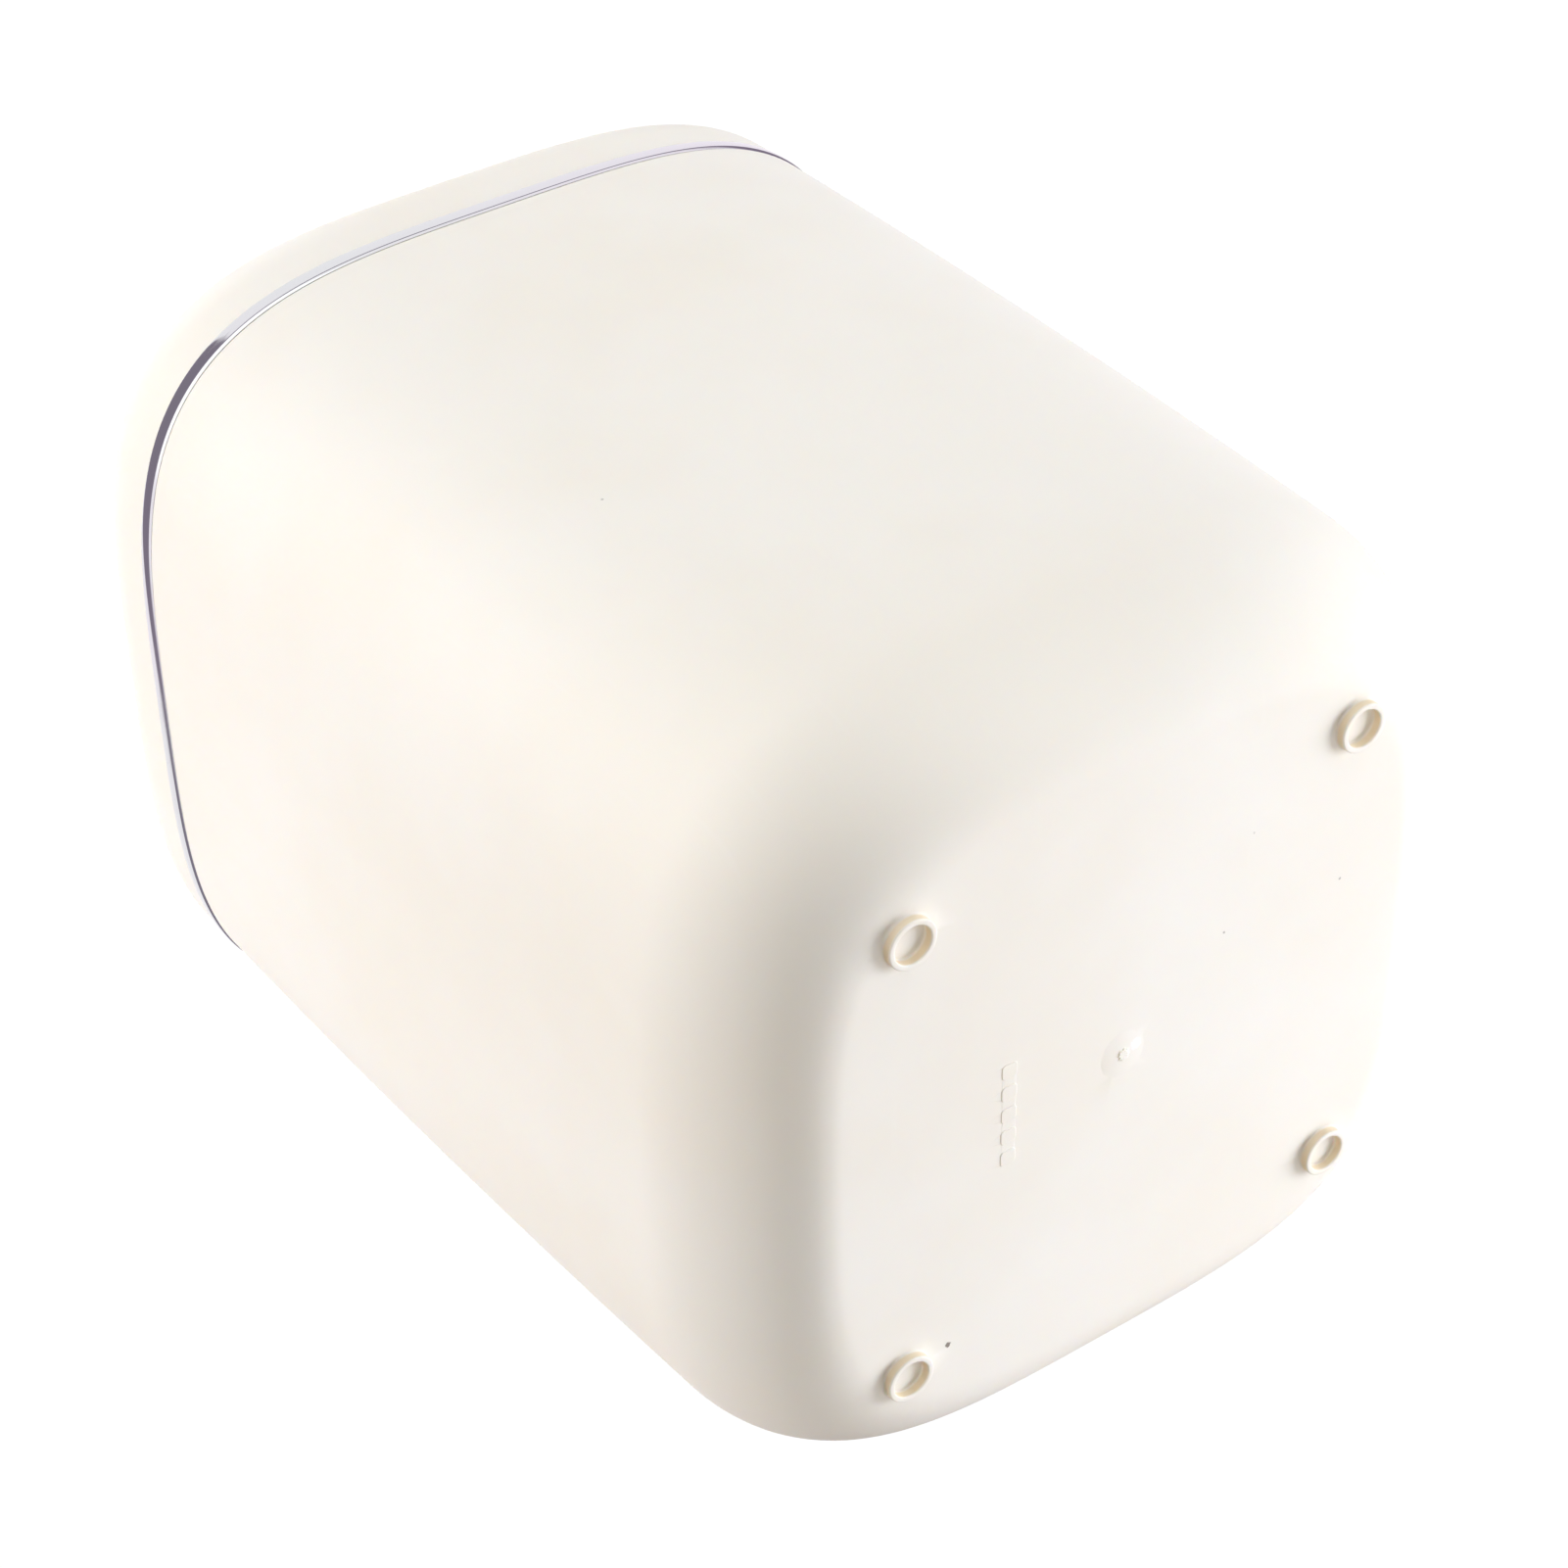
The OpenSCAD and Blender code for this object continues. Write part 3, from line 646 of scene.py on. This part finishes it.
def wire(path, r, around=12):
    """Round wire swept along a path without twisting, with rounded ends."""
    points = [Vector(p) for p in path]
    last = len(points) - 1
    way = [(points[min(i + 1, last)] - points[max(i - 1, 0)]).normalized() for i in range(last + 1)]
    side = way[0].orthogonal().normalized()
    levels = []
    for i, (point, along) in enumerate(zip(points, way)):
        side = (side - side.dot(along) * along).normalized()
        other = along.cross(side)
        sizes = [1.0]
        if i in (0, last):
            sizes = [0.45, 0.85, 1.0] if i == 0 else [1.0, 0.85, 0.45]
        for size in sizes:
            push = r * 0.5 * (1 - size) * (-1 if i == 0 else 1)
            ring = []
            for k in range(around):
                turn = 2 * math.pi * k / around
                arm = math.cos(turn) * side + math.sin(turn) * other
                ring.append(tuple(point + along * push + arm * r * size))
            levels.append(ring)
    skin = Skin()
    skin.loft(levels)
    return skin


def lid_spring_path(mirror):
    """Coil around the hinge rod between the leg under the lid and the leg under the collar."""
    r, pitch, turns, start = 3.2, 1.1, 5, 11.0
    low = HINGE_Z - r
    path = [(start, HINGE_Y - 20 + 20 * k / 10, low) for k in range(10)]
    for i in range(turns * 24 + 1):
        turn = 2 * math.pi * i / 24
        x = start + pitch * i / 24
        path.append((x, HINGE_Y + r * math.sin(turn), HINGE_Z - r * math.cos(turn)))
    end = start + pitch * turns
    path += [(end, HINGE_Y + 7 * k / 4, low) for k in range(1, 5)]
    return [(mirror * x, y, z) for x, y, z in path]


def build_lid_spring(name, mirror):
    """Torsion spring; its coil winds between the lid's leg and the collar's leg."""
    piece = solid(name, wire(lid_spring_path(mirror), LID_WIRE_R))
    finish_shape(piece, 50)
    return piece


def build_latch_spring():
    """Compression spring under the latch lever, with closed end turns."""
    r, thick, turns = 2.7, COIL_WIRE_R, 6
    low, high = COIL_SEAT + thick + 0.05, LATCH_Z - thick - 0.05
    end_turn = 2 * thick + 0.05
    rise = high - low - 2 * end_turn
    path = []
    for i in range(turns * 24 + 1):
        k = i / 24
        if k < 1:
            z = low + end_turn * k
        elif k > turns - 1:
            z = high - end_turn * (turns - k)
        else:
            z = low + end_turn + rise * (k - 1) / (turns - 2)
        turn = 2 * math.pi * k
        path.append((r * math.cos(turn), COIL_Y + r * math.sin(turn), z))
    piece = solid("latch_coil", wire(path, thick))
    finish_shape(piece, 50)
    return piece


# --- Materials --------------------------------------------------------------------------

class Paint:
    """A node material with a few short ways to add nodes."""

    def __init__(self, name):
        self.material = bpy.data.materials.new(name)
        self.material.use_nodes = True
        self.tree = self.material.node_tree
        self.shader = self.tree.nodes["Principled BSDF"]
        self.place = self.node("ShaderNodeTexCoord").outputs["Object"]

    def node(self, kind, **values):
        """A new node with some of its settings."""
        made = self.tree.nodes.new(kind)
        for key, value in values.items():
            setattr(made, key, value)
        return made

    def link(self, a, b):
        """Joins an output to an input."""
        self.tree.links.new(a, b)

    def set(self, **values):
        """Plain values on the shader's own sockets."""
        for key, value in values.items():
            self.shader.inputs[key.replace("_", " ")].default_value = value

    def noise(self, scale, detail=3.0, stretch=None):
        """Noise in the piece's own space, stretched if wanted."""
        made = self.node("ShaderNodeTexNoise")
        made.inputs["Scale"].default_value = scale
        made.inputs["Detail"].default_value = detail
        source = self.place
        if stretch:
            turn = self.node("ShaderNodeMapping")
            turn.inputs["Scale"].default_value = stretch
            turn.inputs["Rotation"].default_value = (0.3, 0.2, 0.7)
            self.link(self.place, turn.inputs["Vector"])
            source = turn.outputs["Vector"]
        self.link(source, made.inputs["Vector"])
        return made.outputs["Fac"]

    def spread(self, value, low, high, to_low, to_high):
        """Smooth step of a value from one range to another."""
        made = self.node("ShaderNodeMapRange")
        made.interpolation_type = "SMOOTHSTEP"
        for key, number in zip(("From Min", "From Max", "To Min", "To Max"), (low, high, to_low, to_high)):
            made.inputs[key].default_value = number
        self.link(value, made.inputs["Value"])
        return made.outputs["Result"]

    def math(self, operation, a, b):
        """Arithmetic on sockets or numbers."""
        made = self.node("ShaderNodeMath", operation=operation)
        for socket, value in zip(made.inputs, (a, b)):
            if isinstance(value, (int, float)):
                socket.default_value = value
            else:
                self.link(value, socket)
        return made.outputs["Value"]

    def mix(self, factor, a, b):
        """Colour between two colours or sockets."""
        made = self.node("ShaderNodeMix", data_type="RGBA")
        if isinstance(factor, (int, float)):
            made.inputs["Factor"].default_value = factor
        else:
            self.link(factor, made.inputs["Factor"])
        for socket, value in zip((made.inputs[6], made.inputs[7]), (a, b)):
            if isinstance(value, tuple):
                socket.default_value = (*value, 1.0)
            else:
                self.link(value, socket)
        return made.outputs[2]

    def bump(self, height, strength, distance, below=None):
        """Surface normal moved by a height."""
        made = self.node("ShaderNodeBump")
        made.inputs["Strength"].default_value = strength
        made.inputs["Distance"].default_value = distance
        self.link(height, made.inputs["Height"])
        if below:
            self.link(below, made.inputs["Normal"])
        return made.outputs["Normal"]

    def near(self, point, r):
        """1 close to a point given in millimetres, 0 beyond a ragged radius."""
        away = self.node("ShaderNodeVectorMath", operation="DISTANCE")
        self.link(self.place, away.inputs[0])
        away.inputs[1].default_value = [k * MM for k in point]
        ragged = self.math("MULTIPLY", self.noise(2500.0, 1.0), r * MM * 1.2)
        reach = self.math("ADD", away.outputs["Value"], ragged)
        return self.spread(reach, r * MM * 1.35, r * MM * 1.75, 1.0, 0.0)


def scuffs(paint, amount):
    """Thin handling marks in two directions, 0 to 1."""
    first = paint.spread(paint.noise(38.0, 4.0, (1.0, 14.0, 1.0)), 0.64, 0.74, 0.0, amount)
    second = paint.spread(paint.noise(30.0, 4.0, (12.0, 1.0, 1.6)), 0.66, 0.76, 0.0, amount)
    return paint.math("MAXIMUM", first, second)


IVORY = (0.905, 0.865, 0.79)
IVORY_WARM = (0.89, 0.84, 0.75)
# painted warm shade on the ring feet's walls, standing in for light through the thin plastic
FOOT_WALL_SHADE = (0.84, 0.73, 0.54)
FLECK_COLOUR = (0.13, 0.095, 0.07)
# painted highlight colour beside the gate's nub
GATE_HIGHLIGHT = (0.98, 0.975, 0.96)
GATE_HIGHLIGHT_AT = (1.8, 1.6, 2.1)         # painted highlight beside the gate's nub
FLECKS = (                # place, radius and strength of specks in the plastic
    ((-58.1, -48.5, 2.3), 0.75, 0.85),
    ((19.2, 58.8, 2.3), 0.35, 0.5),
    ((20.4, 25.4, 2.3), 0.35, 0.5),
    ((43.9, 32.2, 2.3), 0.3, 0.25),
    ((101.2, -52.1, 118.3), 0.35, 0.4),
)


def ivory_plastic(name, painted_foot_shade=False):
    """Matte moulded ivory plastic with fine grain, faint mottling and handling marks."""
    paint = Paint(name)
    mottle = paint.spread(paint.noise(14.0, 3.0), 0.35, 0.65, 0.0, 1.0)
    colour = paint.mix(mottle, IVORY, IVORY_WARM)
    marks = scuffs(paint, 0.5)
    colour = paint.mix(paint.math("MULTIPLY", marks, 0.10), colour, (0.97, 0.96, 0.94))
    if painted_foot_shade:
        # Painted warm shade on the walls of the ring feet, between their lip and their root, away from the
        # gate.
        split = paint.node("ShaderNodeSeparateXYZ")
        paint.link(paint.place, split.inputs[0])
        low = paint.spread(split.outputs["Z"], 0.0016, 0.0022, 1.0, 0.0)
        off_lip = paint.spread(split.outputs["Z"], 0.0001, 0.0006, 0.0, 1.0)
        off_gate = paint.spread(paint.math("ABSOLUTE", split.outputs["X"], 0.0), 0.03, 0.04, 0.0, 1.0)
        wall = paint.math("MULTIPLY", paint.math("MULTIPLY", low, off_lip), off_gate)
        colour = paint.mix(wall, colour, FOOT_WALL_SHADE)
        # Painted highlight beside the gate's nub.
        gate_highlight = paint.math("MULTIPLY", paint.near(GATE_HIGHLIGHT_AT, 1.6), 0.5)
        colour = paint.mix(gate_highlight, colour, GATE_HIGHLIGHT)
        for point, r, strength in FLECKS:
            colour = paint.mix(paint.math("MULTIPLY", paint.near(point, r), strength), colour, FLECK_COLOUR)
    paint.link(colour, paint.shader.inputs["Base Color"])
    rough = paint.spread(paint.noise(55.0, 3.0), 0.3, 0.7, 0.44, 0.52)
    rough = paint.math("ADD", rough, paint.math("MULTIPLY", marks, 0.1))
    paint.link(rough, paint.shader.inputs["Roughness"])
    grain = paint.bump(paint.noise(2600.0, 2.0), 0.12, 0.00006)
    sink = paint.bump(paint.noise(24.0, 2.0), 0.10, 0.0004, grain)
    paint.link(sink, paint.shader.inputs["Normal"])
    paint.set(IOR=1.49, Subsurface_Weight=0.25, Subsurface_Radius=(1.0, 0.72, 0.42), Subsurface_Scale=0.002)
    return paint.material


def inner_plastic():
    """White moulded plastic of the parts inside the collar."""
    paint = Paint("inner_plastic")
    mottle = paint.spread(paint.noise(40.0, 3.0), 0.35, 0.65, 0.0, 1.0)
    colour = paint.mix(mottle, (0.86, 0.86, 0.84), (0.82, 0.82, 0.795))
    marks = scuffs(paint, 0.6)
    colour = paint.mix(paint.math("MULTIPLY", marks, 0.12), colour, (0.93, 0.93, 0.92))
    paint.link(colour, paint.shader.inputs["Base Color"])
    paint.link(paint.spread(paint.noise(80.0, 3.0), 0.3, 0.7, 0.38, 0.5), paint.shader.inputs["Roughness"])
    paint.link(paint.bump(paint.noise(2200.0, 2.0), 0.12, 0.00006), paint.shader.inputs["Normal"])
    paint.set(IOR=1.5, Subsurface_Weight=0.08, Subsurface_Radius=(1.0, 0.9, 0.8), Subsurface_Scale=0.0015)
    return paint.material


def plated_trim():
    """Bright plating over moulded plastic, with slight waves, smudges and hairlines."""
    paint = Paint("plated_trim")
    tint = paint.spread(paint.noise(9.0, 2.0), 0.35, 0.65, 0.0, 1.0)
    colour = paint.mix(tint, (0.80, 0.765, 0.83), (0.77, 0.80, 0.80))
    paint.link(colour, paint.shader.inputs["Base Color"])
    smudge = paint.spread(paint.noise(70.0, 4.0), 0.45, 0.75, 0.05, 0.16)
    hair = paint.spread(paint.noise(60.0, 4.0, (1.0, 1.0, 18.0)), 0.62, 0.72, 0.0, 0.12)
    paint.link(paint.math("ADD", smudge, hair), paint.shader.inputs["Roughness"])
    paint.link(paint.bump(paint.noise(90.0, 2.0), 0.05, 0.0002), paint.shader.inputs["Normal"])
    paint.set(Metallic=1.0)
    return paint.material


def spring_steel(name, colour, scale):
    """Drawn wire or zinc-plated steel with fine drawing lines and dull patches."""
    paint = Paint(name)
    patch = paint.spread(paint.noise(scale, 4.0), 0.4, 0.65, 0.0, 1.0)
    dull = tuple(k * 0.78 for k in colour)
    paint.link(paint.mix(patch, colour, dull), paint.shader.inputs["Base Color"])
    paint.link(paint.spread(patch, 0.0, 1.0, 0.24, 0.42), paint.shader.inputs["Roughness"])
    lines = paint.bump(paint.noise(700.0, 3.0, (0.15, 1.0, 1.0)), 0.2, 0.00008)
    paint.link(lines, paint.shader.inputs["Normal"])
    paint.set(Metallic=1.0)
    return paint.material


def pad_rubber():
    """Soft grey rubber with a dusty bloom."""
    paint = Paint("pad_rubber")
    bloom = paint.spread(paint.noise(500.0, 4.0), 0.4, 0.7, 0.0, 1.0)
    paint.link(paint.mix(bloom, (0.42, 0.42, 0.41), (0.55, 0.55, 0.53)), paint.shader.inputs["Base Color"])
    paint.link(paint.spread(bloom, 0.0, 1.0, 0.72, 0.9), paint.shader.inputs["Roughness"])
    paint.link(paint.bump(paint.noise(1500.0, 3.0), 0.3, 0.0001), paint.shader.inputs["Normal"])
    paint.set(Sheen_Weight=0.15)
    return paint.material


def dress(piece, material):
    """Gives a piece one material."""
    piece.data.materials.clear()
    piece.data.materials.append(material)


def soften(node, width, material):
    """A CAD node that is kept: welded, its edges rounded, with its material."""
    piece = NODES[node]
    weld = piece.modifiers.new("weld", "WELD")
    weld.merge_threshold = 0.00001
    flat = piece.modifiers.new("flat", "DECIMATE")
    flat.decimate_type = "DISSOLVE"
    flat.angle_limit = math.radians(1.0)
    edge = piece.modifiers.new("edge", "BEVEL")
    edge.width = width * MM
    edge.segments = 2
    edge.limit_method = "ANGLE"
    edge.angle_limit = math.radians(40)
    edge.harden_normals = False
    piece.data.shade_smooth()
    sharp = piece.modifiers.new("normals", "WEIGHTED_NORMAL")
    sharp.keep_sharp = True
    dress(piece, material)


# --- Stage ------------------------------------------------------------------------------

# Camera and lights, in metres; the camera's sides point to the picture's right and top.
CAMERA_AT = Vector((0.5305, -0.4161, -0.4603))
CAMERA_RIGHT = Vector((-0.0173, 0.8087, -0.5880))
CAMERA_UP = Vector((0.8036, 0.3611, 0.4730))
CAMERA_BACK = Vector((0.5949, -0.4643, -0.6562))
CAMERA_LENS, CAMERA_FILM = 87.39, 36.0
AIM = Vector((0.0, 0.0, 0.12))


def add_camera():
    """Camera below the bin and to one side, looking up at its base."""
    data = bpy.data.cameras.new("camera")
    data.lens, data.sensor_width = CAMERA_LENS, CAMERA_FILM
    data.clip_start, data.clip_end = 0.01, 20.0
    camera = bpy.data.objects.new("camera", data)
    turn = Matrix((CAMERA_RIGHT, CAMERA_UP, CAMERA_BACK)).transposed()
    camera.matrix_world = Matrix.Translation(CAMERA_AT) @ turn.to_4x4()
    bpy.context.scene.collection.objects.link(camera)
    bpy.context.scene.camera = camera


def studio_direction(around, up):
    """Direction from the bin; 0 is towards the camera, 90 is to the picture's right."""
    a, e = math.radians(around), math.radians(up)
    flat = math.sin(a) * CAMERA_RIGHT + math.cos(a) * CAMERA_BACK
    return (math.cos(e) * flat + math.sin(e) * CAMERA_UP).normalized()


def softbox(name, around, up, power, colour, distance=1.1, size=0.7):
    """Square area light that faces the bin from a sphere around it, unseen in the plating."""
    data = bpy.data.lights.new(name, "AREA")
    data.shape = "SQUARE"
    data.size = size
    data.energy = power
    data.color = colour
    lamp = bpy.data.objects.new(name, data)
    out = studio_direction(around, up)
    lamp.location = AIM + out * distance
    lamp.rotation_euler = out.to_track_quat("Z", "Y").to_euler()
    lamp.visible_camera = False
    lamp.visible_glossy = False
    bpy.context.scene.collection.objects.link(lamp)


def add_floor():
    """Pale floor, seen from above only, so that the view from below stays clear."""
    skin = Skin()
    skin.loft([[(x, y, -0.3) for x, y, _ in circle(0, 0, r, 0, 96)] for r in (3000, 400)], closed=False)
    skin.cap(range(96, 192))
    floor = solid("floor", skin)
    if floor.data.polygons[0].normal.z < 0:
        floor.data.flip_normals()
    paint = Paint("floor")
    paint.set(Base_Color=(0.86, 0.86, 0.85, 1.0), Roughness=0.6)
    clear = paint.node("ShaderNodeBsdfTransparent")
    side = paint.node("ShaderNodeNewGeometry")
    pick = paint.node("ShaderNodeMixShader")
    paint.link(side.outputs["Backfacing"], pick.inputs[0])
    paint.link(paint.shader.outputs[0], pick.inputs[1])
    paint.link(clear.outputs[0], pick.inputs[2])
    paint.link(pick.outputs[0], paint.tree.nodes["Material Output"].inputs["Surface"])
    dress(floor, paint.material)
    floor.visible_shadow = False
    floor.visible_diffuse = False
    floor.visible_glossy = False


# Soft fill of the white tent, as brightness towards sides of the picture.
TENT = (
    (-CAMERA_RIGHT, 0.27),
    (-CAMERA_UP, 0.26),
    (-CAMERA_BACK, 0.30),
)
TENT_COLOUR = (1.25, 1.0, 0.65, 1)
SIDE_LIGHT = (0.97, 1.0, 1.09)
TOP_LIGHT = (0.98, 1.0, 1.04)
MIRRORED_WHITE = (1.0, 0.965, 1.0)
MIRRORED_FLOOR = (1.4, 1.38, 1.42)
MIRRORED_DARK = (0.24, 0.205, 0.26)
DARK_FROM, DARK_TO = -2.45, -0.42      # sector of the room, round the bin, that is dark in the plating


class Sky(Paint):
    """The world's nodes, with the same short ways to add nodes."""

    def __init__(self, name):
        self.world = bpy.data.worlds.new(name)
        self.world.use_nodes = True
        self.tree = self.world.node_tree
        self.tree.nodes.clear()
        self.place = self.node("ShaderNodeTexCoord").outputs["Generated"]

    def towards(self, axis):
        """Square of how far the ray points along an axis, 0 to 1."""
        dot = self.node("ShaderNodeVectorMath", operation="DOT_PRODUCT")
        dot.inputs[1].default_value = axis
        self.link(self.place, dot.inputs[0])
        ahead = self.math("MAXIMUM", dot.outputs["Value"], 0.0)
        return self.math("MULTIPLY", ahead, ahead)

    def background(self, colour, strength):
        """Light of the world in one colour or socket."""
        made = self.node("ShaderNodeBackground")
        for socket, value in zip(made.inputs, (colour, strength)):
            if isinstance(value, (tuple, float)):
                socket.default_value = value
            else:
                self.link(value, socket)
        return made.outputs[0]

    def pick(self, factor, a, b):
        """One of two shaders by a factor."""
        made = self.node("ShaderNodeMixShader")
        for socket, value in zip(made.inputs, (factor, a, b)):
            self.link(value, socket)
        return made.outputs[0]


def tent_fill(sky):
    """Light that the matt surfaces get from all round."""
    total = 0.0
    for axis, strength in TENT:
        total = sky.math("ADD", sky.math("MULTIPLY", sky.towards(axis), strength), total)
    return sky.background(TENT_COLOUR, total)


def mirrored_room(sky):
    """What the plated band mirrors: a white room, a dark sector in it and a dark skirting."""
    split = sky.node("ShaderNodeSeparateXYZ")
    sky.link(sky.place, split.inputs[0])
    height = split.outputs["Z"]
    around = sky.math("ARCTAN2", split.outputs["Y"], split.outputs["X"])
    start = sky.spread(around, DARK_FROM - 0.04, DARK_FROM + 0.04, 0.0, 1.0)
    stop = sky.spread(around, DARK_TO - 0.03, DARK_TO + 0.03, 1.0, 0.0)
    between = sky.math("MULTIPLY", start, stop)
    sector = sky.math("MULTIPLY", between, sky.spread(height, 0.35, 0.5, 0.0, 1.0))
    above = sky.spread(height, -0.32, -0.22, 0.0, 1.0)
    belt = sky.math("MULTIPLY", above, sky.spread(height, 0.42, 0.5, 1.0, 0.0))
    room = sky.mix(sky.math("MAXIMUM", sector, belt), MIRRORED_WHITE, MIRRORED_DARK)
    low = sky.spread(height, -0.52, -0.42, 1.0, 0.0)
    after = sky.spread(around, -1.8, -1.6, 0.0, 1.0)
    side = sky.math("MULTIPLY", after, sky.spread(around, 1.1, 1.3, 1.0, 0.0))
    shine = sky.math("MULTIPLY", low, side)
    return sky.background(sky.mix(shine, room, MIRRORED_FLOOR), 1.0)


def add_world():
    """White tent: plain white to the camera, soft fill for the surfaces, a room in the plating."""
    sky = Sky("studio")
    path = sky.node("ShaderNodeLightPath")
    shared = sky.pick(path.outputs["Is Glossy Ray"], tent_fill(sky), mirrored_room(sky))
    seen = sky.background((1.0, 1.0, 1.0, 1.0), 1.05)
    out = sky.node("ShaderNodeOutputWorld")
    sky.link(sky.pick(path.outputs["Is Camera Ray"], shared, seen), out.inputs["Surface"])
    bpy.context.scene.world = sky.world


def add_lights():
    """Softboxes round the bin; powers in watts."""
    softbox("right", 90, 0, 12.7, SIDE_LIGHT)
    softbox("right_above", 26, 45, 3.3, TOP_LIGHT)
    softbox("right_below", 85, -45, 3.7, SIDE_LIGHT)
    softbox("above", -36, 60, 6.4, TOP_LIGHT)
    softbox("left", -85, -15, 9.8, SIDE_LIGHT)
    softbox("front", 0, 0, 2.8, TOP_LIGHT)
    softbox("overhead", -138, 28, 4.0, TOP_LIGHT)


# --- Making the bin ---------------------------------------------------------------------

def make_pieces():
    """Every visible piece, with its material, slot, body and the node it replaces."""
    tub_paint = ivory_plastic("ivory_plastic_tub", painted_foot_shade=True)
    ivory = ivory_plastic("ivory_plastic")
    white = inner_plastic()
    trim = plated_trim()
    wire_steel = spring_steel("spring_wire", (0.56, 0.57, 0.58), 260.0)
    zinc = spring_steel("zinc_steel", (0.60, 0.61, 0.63), 420.0)
    rubber = pad_rubber()
    replaced = (
        (build_tub(), "tub", "tub", "ivory_plastic", tub_paint),
        (build_band(), "top", "trim_band", "plated_trim", trim),
        (build_collar(), "top", "collar", "ivory_plastic", ivory),
        (build_lid(), "lid", "lid_panel", "ivory_plastic", ivory),
        (build_button(), "button", "push_button", "ivory_plastic", ivory),
        (build_latch_spring(), "top", "latch_spring", "spring_steel", wire_steel),
    )
    for piece, body, node, slot, material in replaced:
        dress(piece, material)
        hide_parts(node)
        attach(piece, body)
        if node == "latch_spring":
            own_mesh(piece)
    for side, mirror in (("left", -1), ("right", 1)):
        spring = build_lid_spring("lid_coil_" + side, mirror)
        dress(spring, wire_steel)
        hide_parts("lid_spring_" + side)
        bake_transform(spring)
    kept = (
        ("lid_liner", 0.3, white), ("hinge_cover", 0.3, white), ("latch_hook", 0.3, white),
        ("latch_housing", 0.3, white), ("lid_bumpers", 0.3, rubber), ("hinge_rod", 0.2, wire_steel),
        ("latch_pin", 0.2, wire_steel), ("rod_clips", 0.08, wire_steel), ("lid_screws", 0.12, zinc),
        ("hinge_cover_screws", 0.12, zinc), ("latch_screws", 0.12, zinc),
    )
    for node, width, material in kept:
        soften(node, width, material)


make_pieces()
add_camera()
add_floor()
add_world()
add_lights()
bpy.context.scene.view_settings.view_transform = "Standard"
